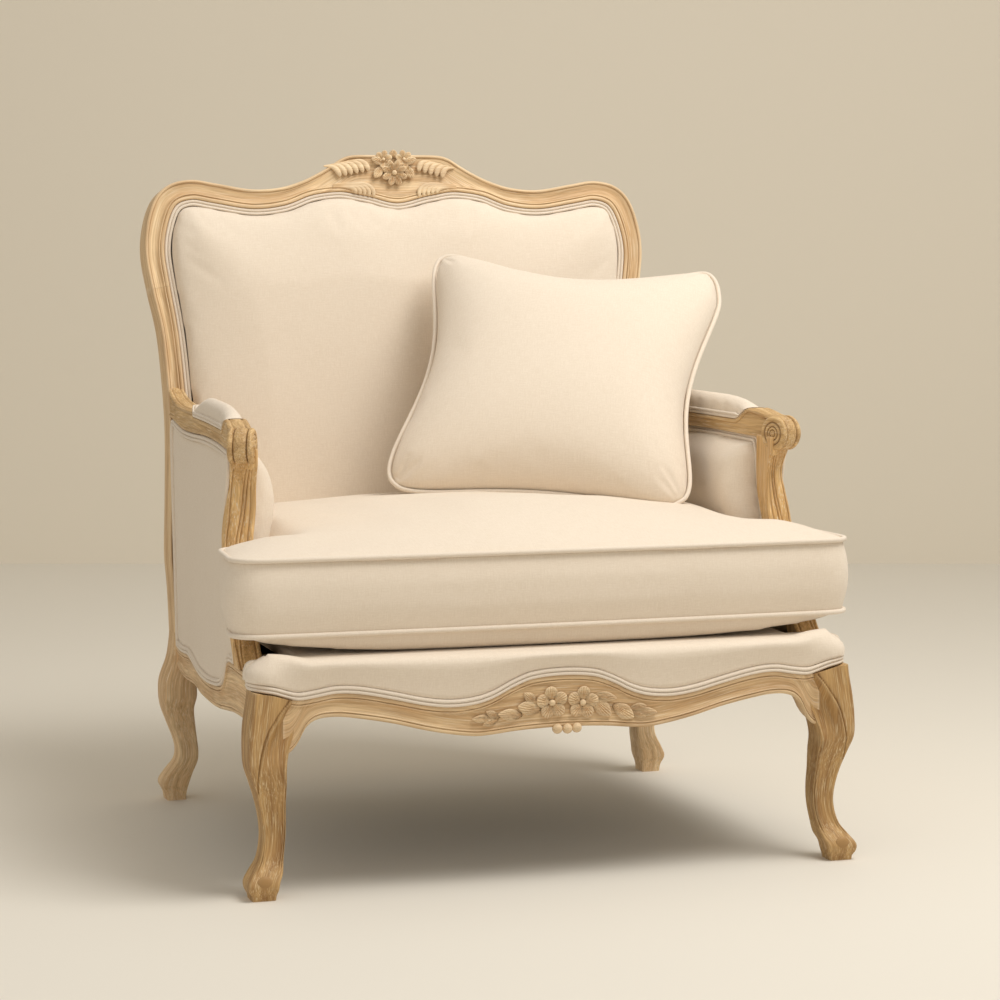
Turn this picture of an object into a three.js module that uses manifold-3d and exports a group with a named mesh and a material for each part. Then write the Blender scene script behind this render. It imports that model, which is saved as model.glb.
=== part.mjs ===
// Bergère armchair: a carved show-wood frame with webbed seat and back, fixed upholstery
// edged with double welt, a loose T-shaped seat cushion and a loose throw pillow.
// Millimetres, +Z up. The chair faces -Y, and its right half is built and mirrored.

import * as THREE from 'three';
import { mergeVertices } from 'three/addons/utils/BufferGeometryUtils.js';
import Module from 'manifold-3d';

const wasm = await Module();
wasm.setup();

// Clearances
const gap = 0.3;
const seamGap = 0.4;
const overrun = 6;
const weldDistance = 0.0005;

// Back frame, measured on its own sloping face
const recline = THREE.MathUtils.degToRad(9.5);
const backFoot = 216;
const backHalfWidth = 417;
const backHeight = 1026;
const frameFace = 31;
const frameThickness = 50;
const frameBead = 7;
const frameCove = 2.5;
const rabbetDepth = 12;
const rabbetWidth = 12;
const tongueThickness = 22;

// Seat rails
const railTop = 300;
const railHalfLength = 383;
const railThickness = 34;
const railRecess = 9;
const railBead = 4;
const apronFace = 448;
const apronBow = 17;
const apronInner = 414;
const sideFront = 404;
const sideRear = 262;
const sideHalfFront = 433;
const sideHalfRear = 395;
const backRailBottom = 236;
const backRailArch = 14;
const backRailFront = 264;
const backSeatInset = 42;
const backSeatHalf = sideHalfRear - backSeatInset;

// Legs
const frontFootX = 421;
const frontFootY = 442;
const frontSweep = 19;
const frontKnee = 54;
const frontLegHeight = 268;
const rearFootX = 397;
const rearFootY = 270;
const rearSweep = 16;
const rearKnee = 52;
const rearLegHeight = 270;
const stileLap = 24;
const stileFoot = rearLegHeight - stileLap;

// Arms and arm supports
const armRear = 336;
const armFront = 265;
const armHeight = 629;
const armWidth = 35;
const armTongue = 9;
const scrollRadius = 24.5;
const scrollWidth = 33;
const scrollDrop = 31.5;
const scrollRise = armHeight - scrollDrop;
const scrollSet = 1;
const scrollTurn = THREE.MathUtils.degToRad(13);
const bossRadius = 9;
const bossProud = 1.5;
const supportDrop = 57;
const supportTop = armHeight - supportDrop;
const sideTongue = 16;

// Joints in the wood
const tenonThickness = 12;
const tenonWidth = 26;
const tenonLength = 20;

// Webbing, dust cover, corner blocks and screws
const strapWidth = 50;
const strapThickness = 1.8;
const strapInset = 8;
const sideStraps = 3;
const frontStraps = 4;
const backStraps = 3;
const blockSide = 62;
const blockBottom = 250;
const blockTop = 292;
const screwRadius = 2.5;
const screwHead = 5;
const screwHeadHeight = 2.5;
const screwBite = 24;
const screwRise = 9;
const coverThickness = 1.5;

// Upholstery
const weltWidth = 6.4;
const weltHeight = 5;
const backPadCrown = 46;
const backPadEdge = 8;
const backPadBottom = 334;
const outsideBottom = 307.5;
const outsideCrown = 9;
const outsideEdge = 6;
const sidePanelEdge = 6;
const sidePanelCrown = 5;
const innerPadEdge = 32;
const innerPadCrown = 4;
const innerPadBottom = 326;
const innerPadHalf = 354.5;
const deckTop = 322;
const deckSideSet = 73;
const deckHalfWidth = sideHalfFront - deckSideSet;
const deckEarRear = 394;
const deckRear = 250;
const borderPad = 6;
const borderTurn = 27;
const borderDrop = 14;
const borderDepth = 25;
const borderLap = 3;
const borderEdge = 5;
const armPadCrown = 27;
const armPadEdge = 9;

// Seat cushion
const cushionHalf = 345;
const cushionOverhang = 17;
const cushionEarHalf = sideHalfFront + cushionOverhang;
const cushionFront = 420;
const cushionBow = 6;
const cushionEarRear = 330;
const cushionEarLean = 22;
const cushionRear = 244;
const cushionCorner = 18;
const cushionLow = 352;
const cushionHigh = 455;
const cushionRest = 322.6;
const cushionCrown = 47;
const borderSwell = 9;
const cordRadius = 4;

// Throw pillow
const pillowHalf = 222;
const pillowThickness = 124;
const pillowDrawIn = 15;
const pillowCentre = new THREE.Vector3(166, 43, 662);
const pillowLean = THREE.MathUtils.degToRad(42.4);
const pillowTurn = THREE.MathUtils.degToRad(-21);
const pillowRoll = THREE.MathUtils.degToRad(-4);
const pillowCord = 3.5;

// Carved flowers, raised from the same timber
const crestFlower = 38;
const crestFlowerDrop = 26;
const crestFlowerRise = backHeight - crestFlowerDrop;
const apronFlower = 39;
const apronFlowerRise = 246;
const flowerProud = 7;

const woodLook = { color: 0xbf9a6b, roughness: 0.62, metalness: 0 };
const innerWoodLook = { color: 0xc9ab80, roughness: 0.8, metalness: 0 };
const clothLook = { color: 0xe3cfb4, roughness: 0.95, metalness: 0 };
const trimLook = { color: 0xdac4a6, roughness: 0.9, metalness: 0 };
const webLook = { color: 0x8d7a5c, roughness: 0.95, metalness: 0 };
const coverLook = { color: 0x1d1c1b, roughness: 1, metalness: 0 };
const steelLook = { color: 0x9a9a98, roughness: 0.35, metalness: 0.9 };

// Back outline from the crest's centre down the right stile:
// shares of the half width, of the height above the stile's foot and of the face's width.
const backShares = [
  [0, 1, 2.39],
  [0.151, 1, 2],
  [0.209, 0.9942, 1.75],
  [0.261, 0.9776, 1.45],
  [0.317, 0.9605, 1.25],
  [0.381, 0.9448, 1.1],
  [0.464, 0.9316, 1],
  [0.576, 0.9277, 1],
  [0.714, 0.9395, 1],
  [0.81, 0.947, 1],
  [0.897, 0.9369, 1.05],
  [0.955, 0.9079, 1.08],
  [0.99, 0.8553, 1.05],
  [1, 0.7961, 1],
  [0.981, 0.7238, 0.95],
  [0.953, 0.6435, 0.86],
  [0.94, 0.5528, 0.87],
  [0.935, 0.4423, 0.9],
  [0.947, 0.2936, 0.95],
  [0.957, 0.1937, 1],
  [0.952, 0.1187, 1],
  [0.95, 0, 1],
];
const crestJoint = 14;
const stileEnd = backShares.length - 1;

// Front apron: share of the half length, then lower and upper edge as shares of the rail top.
// The last rows run on over the leg's head.
const apronShares = [
  [0, 0.717, 0.957],
  [0.1175, 0.713, 0.945],
  [0.188, 0.707, 0.913],
  [0.261, 0.697, 0.867],
  [0.326, 0.693, 0.842],
  [0.418, 0.708, 0.833],
  [0.512, 0.732, 0.847],
  [0.619, 0.767, 0.878],
  [0.744, 0.797, 0.91],
  [0.83, 0.81, 0.917],
  [0.9, 0.8, 0.903],
  [0.94, 0.763, 0.895],
  [0.969, 0.693, 0.893],
  [1, 0.653, 0.895],
  [1.06, 0.653, 0.9],
  [1.13, 0.653, 0.905],
];
const apronEnd = 13;

// Side rail: share of the length from the front leg, share of the front's extra width,
// then lower and upper edge as shares of the rail top.
const sideRailShares = [
  [0, 1, 0.775, 1],
  [0.048, 0.99, 0.78, 1],
  [0.156, 0.95, 0.77, 1],
  [0.201, 0.93, 0.758, 0.985],
  [0.222, 0.915, 0.753, 0.92],
  [0.252, 0.9, 0.745, 0.87],
  [0.303, 0.86, 0.732, 0.84],
  [0.369, 0.8, 0.72, 0.823],
  [0.434, 0.75, 0.715, 0.813],
  [0.547, 0.64, 0.712, 0.813],
  [0.652, 0.51, 0.72, 0.833],
  [0.727, 0.42, 0.71, 0.847],
  [0.826, 0.27, 0.693, 0.827],
  [0.907, 0.14, 0.69, 0.813],
  [1, 0, 0.7, 0.81],
];

// Legs: shares of the height, of the sweep sideways and lengthways, and of the knee's width.
const frontLegShares = [
  [0, 0, 0, 0.61],
  [0.023, 0, 0, 0.64],
  [0.053, 0.05, 0.05, 0.76],
  [0.09, 0, 0, 0.8],
  [0.134, -0.37, -0.37, 0.75],
  [0.194, -0.74, -0.74, 0.61],
  [0.291, -1, -1, 0.574],
  [0.381, -1, -1, 0.61],
  [0.481, -0.83, -0.83, 0.685],
  [0.582, -0.6, -0.6, 0.83],
  [0.668, -0.35, -0.4, 0.925],
  [0.772, -0.36, -0.5, 0.965],
  [0.876, -0.52, -0.65, 1],
  [1, -0.78, -0.72, 0.98],
];
const rearLegShares = [
  [0, 0, 0, 0.577],
  [0.044, 0.04, 0.04, 0.635],
  [0.096, 0.12, 0.12, 0.81],
  [0.163, -0.3, -0.3, 0.75],
  [0.237, -0.89, -0.89, 0.644],
  [0.293, -1, -1, 0.615],
  [0.352, -0.89, -0.89, 0.635],
  [0.463, -0.49, -0.49, 0.77],
  [0.544, -0.25, -0.25, 0.885],
  [0.615, -0.31, -0.28, 1],
  [0.704, -0.4, -0.1, 0.98],
  [0.822, -1.15, 0.6, 0.92],
  [0.926, -1.31, 0.81, 0.83],
  [1, -1.375, 0.906, 0.8],
];
const legChamferShare = 0.06;
const rearLegDepthShare = 1.18;

// Arm: share of the reach from the rear, centre line's distance out as a share of the rear
// half width, then top and underside as shares of the arm's height, and its width.
const armShares = [
  [0, 0.956, 1.037, 0.953, 0.77],
  [0.06, 0.954, 1.02, 0.95, 0.82],
  [0.13, 0.952, 1.004, 0.943, 0.9],
  [0.22, 0.951, 1, 0.934, 0.97],
  [0.345, 0.952, 1.001, 0.933, 1],
  [0.36, 0.953, 0.973, 0.933, 1],
  [0.5, 0.96, 0.972, 0.938, 1],
  [0.65, 0.974, 0.971, 0.94, 1],
  [0.8, 0.992, 0.972, 0.939, 1],
  [0.855, 1.001, 0.973, 0.938, 1],
  [0.885, 1.005, 1.002, 0.937, 0.98],
  [0.93, 1.013, 0.992, 0.935, 0.96],
  [1, 1.024, 0.98, 0.935, 0.94],
];
const armPadShares = [0.365, 0.85];

// Arm support: share of the height above the rail, inner and outer face as shares of the front
// half width, then inner and outer front corner, inner and outer wood edge and rear face as
// shares of the arm's front reach.
const supportShares = [
  [0, 0.915, 1, 1.4, 1.4, 1.22, 1.27, 1.18],
  [0.055, 0.915, 1, 1.315, 1.315, 1.17, 1.235, 1.13],
  [0.147, 0.912, 1, 1.226, 1.226, 1.075, 1.17, 1.038],
  [0.294, 0.908, 0.998, 1.1, 1.094, 0.975, 1.068, 0.936],
  [0.445, 0.903, 0.995, 1.038, 1.011, 0.917, 0.983, 0.88],
  [0.614, 0.896, 0.988, 1.004, 0.955, 0.883, 0.901, 0.845],
  [0.7, 0.889, 0.979, 0.992, 0.947, 0.868, 0.867, 0.83],
  [0.772, 0.885, 0.972, 0.992, 0.928, 0.853, 0.872, 0.815],
  [0.882, 0.885, 0.963, 1, 0.913, 0.838, 0.908, 0.8],
  [1, 0.885, 0.965, 1.042, 0.985, 0.838, 0.94, 0.8],
];

// Reads a table whose first column runs along the piece, straight or smooth between its rows.
function reader(rows, Between = THREE.LinearInterpolant) {
  const stops = rows.map((row) => row[0]);
  const values = rows.flatMap((row) => row.slice(1));
  const curve = new Between(stops, values, rows[0].length - 1);
  return (stop) => Array.from(curve.evaluate(stop));
}

function toSolid(geometry) {
  const bare = geometry.clone();
  bare.deleteAttribute('normal');
  bare.deleteAttribute('uv');
  const merged = mergeVertices(bare, weldDistance);
  return new wasm.Manifold(new wasm.Mesh({
    numProp: 3,
    vertProperties: new Float32Array(merged.attributes.position.array),
    triVerts: new Uint32Array(merged.index.array),
  }));
}

function toGeometry(solid) {
  const mesh = solid.getMesh();
  const geometry = new THREE.BufferGeometry();
  const corners = new Float32Array(mesh.vertProperties);
  geometry.setAttribute('position', new THREE.BufferAttribute(corners, mesh.numProp));
  geometry.setIndex(new THREE.BufferAttribute(new Uint32Array(mesh.triVerts), 1));
  return geometry;
}

function joined(first, ...others) {
  return toGeometry(others.reduce((whole, other) => whole.add(toSolid(other)), toSolid(first)));
}

function cut(first, ...others) {
  return toGeometry(others.reduce((rest, other) => rest.subtract(toSolid(other)), toSolid(first)));
}

// Cuts a timber back to its neighbour's face and leaves the clearance between them.
function coped(timber, neighbour, direction) {
  const slid = neighbour.clone().translate(...direction.clone().multiplyScalar(gap));
  return cut(timber, neighbour, slid);
}

function mirrored(geometry) {
  const copy = geometry.clone().scale(-1, 1, 1);
  const order = copy.index.array;
  for (let face = 0; face < order.length; face += 3) {
    [order[face], order[face + 1]] = [order[face + 1], order[face]];
  }
  return copy;
}

function volumeOf(points, index) {
  let volume = 0;
  for (let face = 0; face < index.length; face += 3) {
    const [a, b, c] = index.slice(face, face + 3).map((corner) => points[corner]);
    volume += a.dot(b.clone().cross(c));
  }
  return volume;
}

// Triangles over a flat ring: a fan about its middle, or clipped ears where it has a hollow.
function capFaces(ring) {
  const middle = new THREE.Vector3();
  const normal = new THREE.Vector3();
  ring.forEach((point, place) => {
    middle.add(point);
    normal.add(point.clone().cross(ring[(place + 1) % ring.length]));
  });
  middle.divideScalar(ring.length);
  normal.normalize();
  const fan = ring.map((point, place) => [place, (place + 1) % ring.length, ring.length]);
  const open = ring.every((point, place) => {
    const toHere = point.clone().sub(middle);
    const toNext = ring[(place + 1) % ring.length].clone().sub(middle);
    return toHere.cross(toNext).dot(normal) > 1;
  });
  if (open) {
    return { faces: fan, middle };
  }
  const along = ring[1].clone().sub(ring[0]).normalize();
  const beside = normal.clone().cross(along);
  const contour = ring.map((point) => new THREE.Vector2(point.dot(along), point.dot(beside)));
  return { faces: THREE.ShapeUtils.triangulateShape(contour, []), middle };
}

// A skin through rings of points, capped at both ends or closed on itself.
function loft(rings, closed = false) {
  const size = rings[0].length;
  const points = rings.flat();
  const index = [];
  const spans = closed ? rings.length : rings.length - 1;
  for (let ring = 0; ring < spans; ring += 1) {
    const here = ring * size;
    const there = ((ring + 1) % rings.length) * size;
    for (let side = 0; side < size; side += 1) {
      const next = (side + 1) % size;
      index.push(here + side, here + next, there + next);
      index.push(here + side, there + next, there + side);
    }
  }
  if (!closed) {
    [rings[0], rings.at(-1)].forEach((ring, end) => {
      const { faces, middle } = capFaces(ring);
      const start = end * (rings.length - 1) * size;
      const corner = (place) => (place === size ? points.length : start + place);
      const turned = (face) => (end ? face : face.slice().reverse());
      faces.forEach((face) => index.push(...turned(face).map(corner)));
      points.push(middle);
    });
  }
  if (volumeOf(points, index) < 0) {
    index.reverse();
  }
  const geometry = new THREE.BufferGeometry().setFromPoints(points);
  geometry.setIndex(index);
  return geometry;
}

function steps(from, to, count) {
  return Array.from({ length: count + 1 }, (_, place) => from + ((to - from) * place) / count);
}

// Moves a closed outline inwards; the outline runs anticlockwise.
function inset(outline, distance) {
  return outline.map((point, place) => {
    const before = outline.at(place - 1);
    const after = outline[(place + 1) % outline.length];
    const first = point.clone().sub(before).normalize();
    const second = after.clone().sub(point).normalize();
    const inward = new THREE.Vector2(-first.y - second.y, first.x + second.x).normalize();
    const spread = Math.max(inward.dot(new THREE.Vector2(-first.y, first.x)), 0.3);
    return point.clone().addScaledVector(inward, distance / spread);
  });
}

function clearOf(outline, point, distance) {
  return outline.every((start, place) => {
    const edge = outline[(place + 1) % outline.length].clone().sub(start);
    const share = point.clone().sub(start).dot(edge) / edge.lengthSq();
    const nearest = start.clone().addScaledVector(edge, THREE.MathUtils.clamp(share, 0, 1));
    return nearest.distanceTo(point) > distance * 0.98;
  });
}

// A line that runs inside an outline at an even distance, without the knots at tight corners.
function within(outline, distance) {
  return inset(outline, distance).filter((point) => clearOf(outline, point, distance));
}

const softShares = [0.97, 0.86, 0.66, 0.36];
const flatShares = [0.95, 0.55];

// A padded form over an outline: flat behind, raised edge, crowned front.
function pad(outline, edge, crown, place, backShares = [], crownShares = softShares) {
  const centre = new THREE.Vector2();
  outline.forEach((point) => centre.add(point));
  centre.divideScalar(outline.length);
  const level = (share, height) => outline.map((point) => {
    const spot = centre.clone().lerp(point, share);
    return place(spot.x, spot.y, height);
  });
  const rise = (share) => edge + crown * (1 - share ** 2.6);
  const rings = backShares.map((share) => level(share, 0));
  rings.push(level(1, 0), level(1, edge * 0.6));
  crownShares.forEach((share) => rings.push(level(share, rise(share))));
  return loft(rings);
}

// A flat double cord glued along the foot of an outline.
function doubleWelt(outline, place) {
  const half = weltWidth / 2;
  const section = [
    [-half, 0],
    [half, 0],
    [half * 0.6, weltHeight],
    [0, weltHeight * 0.72],
    [-half * 0.6, weltHeight],
  ];
  const rings = outline.map((point, at) => {
    const along = outline[(at + 1) % outline.length].clone().sub(outline.at(at - 1)).normalize();
    return section.map(([across, height]) => place(
      point.x - along.y * across,
      point.y + along.x * across,
      height,
    ));
  });
  return loft(rings, true);
}

// A round cord along a closed line of points, set off outwards from a seam.
function pipingLoop(points, radius, normal) {
  const sides = 5;
  const rings = points.map((point, at) => {
    const along = points[(at + 1) % points.length].clone().sub(points.at(at - 1)).normalize();
    const outward = along.clone().cross(normal).normalize();
    const up = outward.clone().cross(along).normalize();
    const middle = point.clone().addScaledVector(outward, radius + seamGap);
    return Array.from({ length: sides }, (_, side) => {
      const angle = (side / sides) * Math.PI * 2;
      return middle.clone()
        .addScaledVector(outward, Math.cos(angle) * radius)
        .addScaledVector(up, Math.sin(angle) * radius);
    });
  });
  return loft(rings, true);
}

function box(size, centre) {
  return new THREE.BoxGeometry(...size.toArray()).translate(...centre.toArray());
}

function grown(size) {
  return size.clone().addScalar(gap * 2);
}

// Tilts a shape from the back's own face (across, depth, up the slope) into the chair.
function lean(geometry) {
  return geometry.rotateX(-recline).translate(0, backFoot, 0);
}

function leanPoint(x, depth, rise) {
  return new THREE.Vector3(
    x,
    backFoot + depth * Math.cos(recline) + rise * Math.sin(recline),
    rise * Math.cos(recline) - depth * Math.sin(recline),
  );
}

function backFaceAt(height) {
  return backFoot + height * Math.tan(recline);
}

const backRow = reader([
  ...backShares.slice(1, 3).map((row, place) => [-place - 1, -row[0], row[1], row[2]]).reverse(),
  ...backShares.map((row, place) => [place, ...row]),
], THREE.CubicInterpolant);

// A point of the back frame's face, set in from its outer edge.
function backEdge(step, distanceIn) {
  const side = step < 0 ? -1 : 1;
  const at = Math.min(Math.abs(step), stileEnd);
  const nudge = 0.05;
  const [x, rise] = backRow(at);
  const [xBefore, riseBefore] = backRow(Math.max(at - nudge, -1));
  const [xAfter, riseAfter] = backRow(Math.min(at + nudge, stileEnd));
  const along = new THREE.Vector2(
    (xAfter - xBefore) * backHalfWidth,
    (riseAfter - riseBefore) * (backHeight - stileFoot),
  ).normalize();
  return new THREE.Vector2(
    side * (x * backHalfWidth + along.y * distanceIn),
    stileFoot + rise * (backHeight - stileFoot) - along.x * distanceIn,
  );
}

function faceAt(step) {
  return backRow(Math.abs(step))[2] * frameFace;
}

// Moulded section of the back frame: two beads, a cove between, and a tongue for the tacks.
function frameRing(step) {
  const face = faceAt(step);
  const back = frameThickness;
  const tongueBack = rabbetDepth + tongueThickness;
  const section = [
    [0, frameBead * 0.6],
    [frameBead * 0.5, 0],
    [frameBead, frameCove],
    [face - frameBead, frameCove],
    [face - frameBead * 0.5, 0],
    [face, frameBead * 0.6],
    [face, rabbetDepth],
    [face + rabbetWidth, rabbetDepth],
    [face + rabbetWidth, tongueBack],
    [face, tongueBack],
    [face, back - frameBead * 0.5],
    [face - frameBead * 0.5, back],
    [frameBead * 0.5, back],
    [0, back - frameBead * 0.5],
  ];
  return section.map(([across, depth]) => {
    const spot = backEdge(step, across);
    return new THREE.Vector3(spot.x, depth, spot.y);
  });
}

function crestTenon(size) {
  const middle = backEdge(crestJoint, faceAt(crestJoint) / 2);
  return box(size, new THREE.Vector3(middle.x, frameThickness / 2, middle.y));
}

const crestTenonSize = new THREE.Vector3(tenonThickness, tenonThickness, tenonLength * 2);

// A low carved boss: a dome with petals' rough outline, proud of its timber.
function flowerBoss(radius) {
  const profile = [
    new THREE.Vector2(0, -flowerProud),
    new THREE.Vector2(radius * 0.55, -flowerProud),
    new THREE.Vector2(radius * 0.9, -flowerProud * 0.5),
    new THREE.Vector2(radius, 0),
    new THREE.Vector2(radius, rabbetDepth),
    new THREE.Vector2(0, rabbetDepth),
  ];
  return new THREE.LatheGeometry(profile, 14);
}

function crestRail() {
  const rings = steps(-crestJoint, crestJoint, crestJoint * 4).map(frameRing);
  const mortise = crestTenon(grown(crestTenonSize));
  const boss = flowerBoss(crestFlower).translate(0, 0, crestFlowerRise);
  const timber = joined(loft(rings), boss);
  return lean(cut(timber, mortise, mirrored(cleaned(mortise))));
}

// A primitive with shared corners, ready to be mirrored.
function cleaned(geometry) {
  return toGeometry(toSolid(geometry));
}

function cabriole(shares, foot, sweep, knee, height, depthShare = 1) {
  const side = new THREE.Vector2(Math.sign(foot.x), Math.sign(foot.y));
  const rings = shares.map(([rise, across, lengthways, width]) => {
    const half = (knee * width) / 2;
    const small = half * (1 - legChamferShare * 2);
    const x = foot.x + side.x * sweep * across;
    const y = foot.y + side.y * sweep * lengthways;
    return [
      [small, -half], [half, -small], [half, small], [small, half],
      [-small, half], [-half, small], [-half, -small], [-small, -half],
    ].map(([dx, dy]) => new THREE.Vector3(x + dx, y + dy * depthShare, rise * height));
  });
  return loft(rings);
}

function rawRearPost() {
  const foot = new THREE.Vector2(rearFootX, rearFootY);
  const leg = cabriole(
    rearLegShares,
    foot,
    rearSweep,
    rearKnee,
    rearLegHeight,
    rearLegDepthShare,
  );
  const rings = steps(crestJoint, stileEnd, stileEnd - crestJoint).map(frameRing);
  rings[0].forEach((point) => point.setZ(point.z - gap));
  return joined(leg, lean(loft(rings)), lean(crestTenon(crestTenonSize)));
}

// Plan of the seat's front corner, set in from the wood's face.
function borderCorner(distanceIn, count) {
  const radius = borderTurn - distanceIn;
  return steps(0, Math.PI / 2, count).map((angle) => new THREE.Vector2(
    sideHalfFront - borderTurn + radius * Math.sin(angle),
    borderTurn - apronFace - radius * Math.cos(angle),
  ));
}

function rawFrontLeg() {
  const foot = new THREE.Vector2(frontFootX, -frontFootY);
  const leg = cabriole(frontLegShares, foot, frontSweep, frontKnee, frontLegHeight);
  const low = frontLegHeight - overrun;
  const headShape = new THREE.Shape([
    new THREE.Vector2(railHalfLength, railRecess - apronFace),
    ...borderCorner(railRecess, 3),
    new THREE.Vector2(sideHalfFront - railRecess, -sideFront + railBead),
    new THREE.Vector2(railHalfLength, -sideFront + railBead),
  ]);
  const head = new THREE.ExtrudeGeometry(headShape, {
    depth: railTop - low,
    bevelEnabled: false,
  }).translate(0, 0, low);
  return joined(leg, head);
}

const apronRow = reader([
  ...apronShares.slice(1, 3).map(([x, ...rest]) => [-x, ...rest]).reverse(),
  ...apronShares,
]);

function apronFaceAt(x) {
  const share = Math.min(Math.abs(x) / railHalfLength, 1);
  return -(apronFace + apronBow * Math.cos((share * Math.PI) / 2));
}

// Places along the front where the rail's outline turns, left to right.
function apronPlaces(rows) {
  const right = rows.map((row) => row[0]);
  return [...right.slice(1).reverse().map((share) => -share), ...right];
}

function apronBoard() {
  const last = 1 + railRecess / railHalfLength;
  const places = [-last, ...apronPlaces(apronShares.slice(0, apronEnd + 1)), last];
  const rings = places.map((share) => {
    const x = share * railHalfLength;
    const face = apronFaceAt(x);
    const [low, high] = apronRow(Math.abs(share)).map((value) => value * railTop);
    return [
      [face + railBead, low], [face, low + railBead], [face, high - railBead],
      [face + railBead, high], [face + railRecess, high], [face + railRecess, railTop],
      [-apronInner, railTop], [-apronInner, low + railBead],
    ].map(([y, z]) => new THREE.Vector3(x, y, z));
  });
  const boss = flowerBoss(apronFlower).translate(0, apronFaceAt(0), apronFlowerRise);
  return joined(loft(rings), boss);
}

const sideRow = reader(sideRailShares);

function sideShare(y) {
  return THREE.MathUtils.clamp((y + sideFront) / (sideFront + sideRear), 0, 1);
}

function sideOuterAt(y) {
  return sideHalfRear + (sideHalfFront - sideHalfRear) * sideRow(sideShare(y))[0];
}

function sideTopAt(y) {
  return sideRow(sideShare(y))[2] * railTop;
}

const armRow = reader(armShares);

function armAlong(y) {
  return THREE.MathUtils.clamp((armRear - y) / (armRear + armFront), 0, 1);
}

function armOuterAt(y) {
  const [out, , , width] = armRow(armAlong(y));
  return out * sideHalfRear + (width * armWidth) / 2;
}

// Places along the arm where its outline turns, from a rear one to a front one.
function armPlaces(rear, front) {
  const places = armShares.map((row) => armRear - row[0] * (armRear + armFront));
  return [rear, ...places.filter((y) => y < rear - overrun && y > front + overrun), front];
}

function armLowAt(y) {
  return armRow(armAlong(y))[2] * armHeight;
}

// The face that the outside panel is tacked to, from the rail up to the arm.
function sideFaceAt(y, z) {
  const share = (z - railTop) / (armHeight - railTop);
  return THREE.MathUtils.lerp(sideOuterAt(y), armOuterAt(y), share) - railRecess;
}

function sideBoard() {
  const rings = sideRailShares.map(([share]) => {
    const y = -sideFront - railRecess + share * (sideFront + railRecess + sideRear);
    const outer = sideOuterAt(y);
    const [, low, high] = sideRow(sideShare(y));
    const wood = Math.min(high * railTop, railTop - gap);
    return [
      [outer - railBead, low * railTop], [outer, low * railTop + railBead],
      [outer, wood - railBead], [outer - railBead, wood],
      [sideFaceAt(y, wood), wood],
      [sideFaceAt(y, railTop), railTop],
      [outer - railThickness, railTop], [outer - railThickness, low * railTop + railBead],
    ].map(([x, z]) => new THREE.Vector3(x, y, z));
  });
  return loft(rings);
}

const supportRow = reader(supportShares);

function supportShare(z) {
  return THREE.MathUtils.clamp((z - railTop) / (supportTop - railTop), 0, 1);
}

// Heights where the arm support's outline turns, from its head down to a given height.
function supportHeights(low) {
  return supportShares.map((row) => railTop + row[0] * (supportTop - railTop))
    .filter((z) => z > low && z < supportTop - armTongue)
    .reverse();
}

// Wood edges of the arm support as seen from inside and from outside the chair.
function supportEdges(z) {
  const [, , , , inner, outer] = supportRow(supportShare(z));
  return { inner: -inner * armFront, outer: -outer * armFront };
}

function supportBody() {
  const rings = supportShares.map(([share]) => {
    const z = railTop + gap + share * (supportTop - railTop - gap);
    const [inX, outX, frontIn, frontOut, edgeIn, edgeOut, rear] = supportRow(share);
    const tongueAt = (reach) => sideFaceAt(-reach * armFront, z);
    return [
      [inX * sideHalfFront, -frontIn * armFront],
      [outX * sideHalfFront, -frontOut * armFront],
      [outX * sideHalfFront, -edgeOut * armFront],
      [tongueAt(edgeOut), -edgeOut * armFront],
      [tongueAt(rear), -rear * armFront],
      [tongueAt(rear) - sideTongue, -rear * armFront],
      [tongueAt(edgeIn) - sideTongue, -edgeIn * armFront],
      [inX * sideHalfFront, -edgeIn * armFront],
    ].map(([x, y]) => new THREE.Vector3(x, y, z));
  });
  return loft(rings);
}

function armBody() {
  const rings = armShares.map(([share, out, high, low, width]) => {
    const y = armRear - share * (armRear + armFront);
    const middle = out * sideHalfRear;
    const half = (armWidth * width) / 2;
    const top = high * armHeight;
    const bottom = low * armHeight;
    const tongue = sideFaceAt(y, bottom) - middle;
    const tongueLow = sideFaceAt(y, bottom - armTongue) - middle;
    return [
      [half - railBead, top], [half, top - railBead], [half, bottom],
      [tongue, bottom], [tongueLow, bottom - armTongue],
      [tongueLow - sideTongue, bottom - armTongue], [tongue - sideTongue, bottom],
      [-half, bottom], [-half, top - railBead], [railBead - half, top],
    ].map(([x, z]) => new THREE.Vector3(middle + x, y, z));
  });
  return loft(rings);
}

function scrollPlace() {
  return new THREE.Vector3(armRow(1)[0] * sideHalfRear, -armFront, scrollRise);
}

// The arm's front end: a drum with its axis across the arm, three reeds and a boss each side.
function armScroll() {
  const half = scrollWidth / 2;
  const groove = scrollRadius - frameCove;
  const profile = [
    new THREE.Vector2(0, -half - bossProud),
    new THREE.Vector2(bossRadius, -half - bossProud),
    new THREE.Vector2(bossRadius, -half),
    new THREE.Vector2(scrollRadius, -half),
    new THREE.Vector2(scrollRadius, -half * 0.4),
    new THREE.Vector2(groove, -half * 0.3),
    new THREE.Vector2(groove, half * 0.3),
    new THREE.Vector2(scrollRadius, half * 0.4),
    new THREE.Vector2(scrollRadius, half),
    new THREE.Vector2(bossRadius, half),
    new THREE.Vector2(bossRadius, half + bossProud),
    new THREE.Vector2(0, half + bossProud),
  ];
  const place = scrollPlace();
  return new THREE.LatheGeometry(profile, 18)
    .rotateZ(Math.PI / 2)
    .rotateZ(scrollTurn)
    .translate(place.x - scrollSet, place.y - scrollSet, place.z);
}

const stileTenonHeights = {
  arm: armHeight - tenonWidth / 2,
  side: railTop - tenonWidth * 0.7,
};

function armTenon(size) {
  const y = backFaceAt(stileTenonHeights.arm) + tenonLength / 2;
  return box(size, new THREE.Vector3(armRow(0)[0] * sideHalfRear, y, stileTenonHeights.arm));
}

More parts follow.
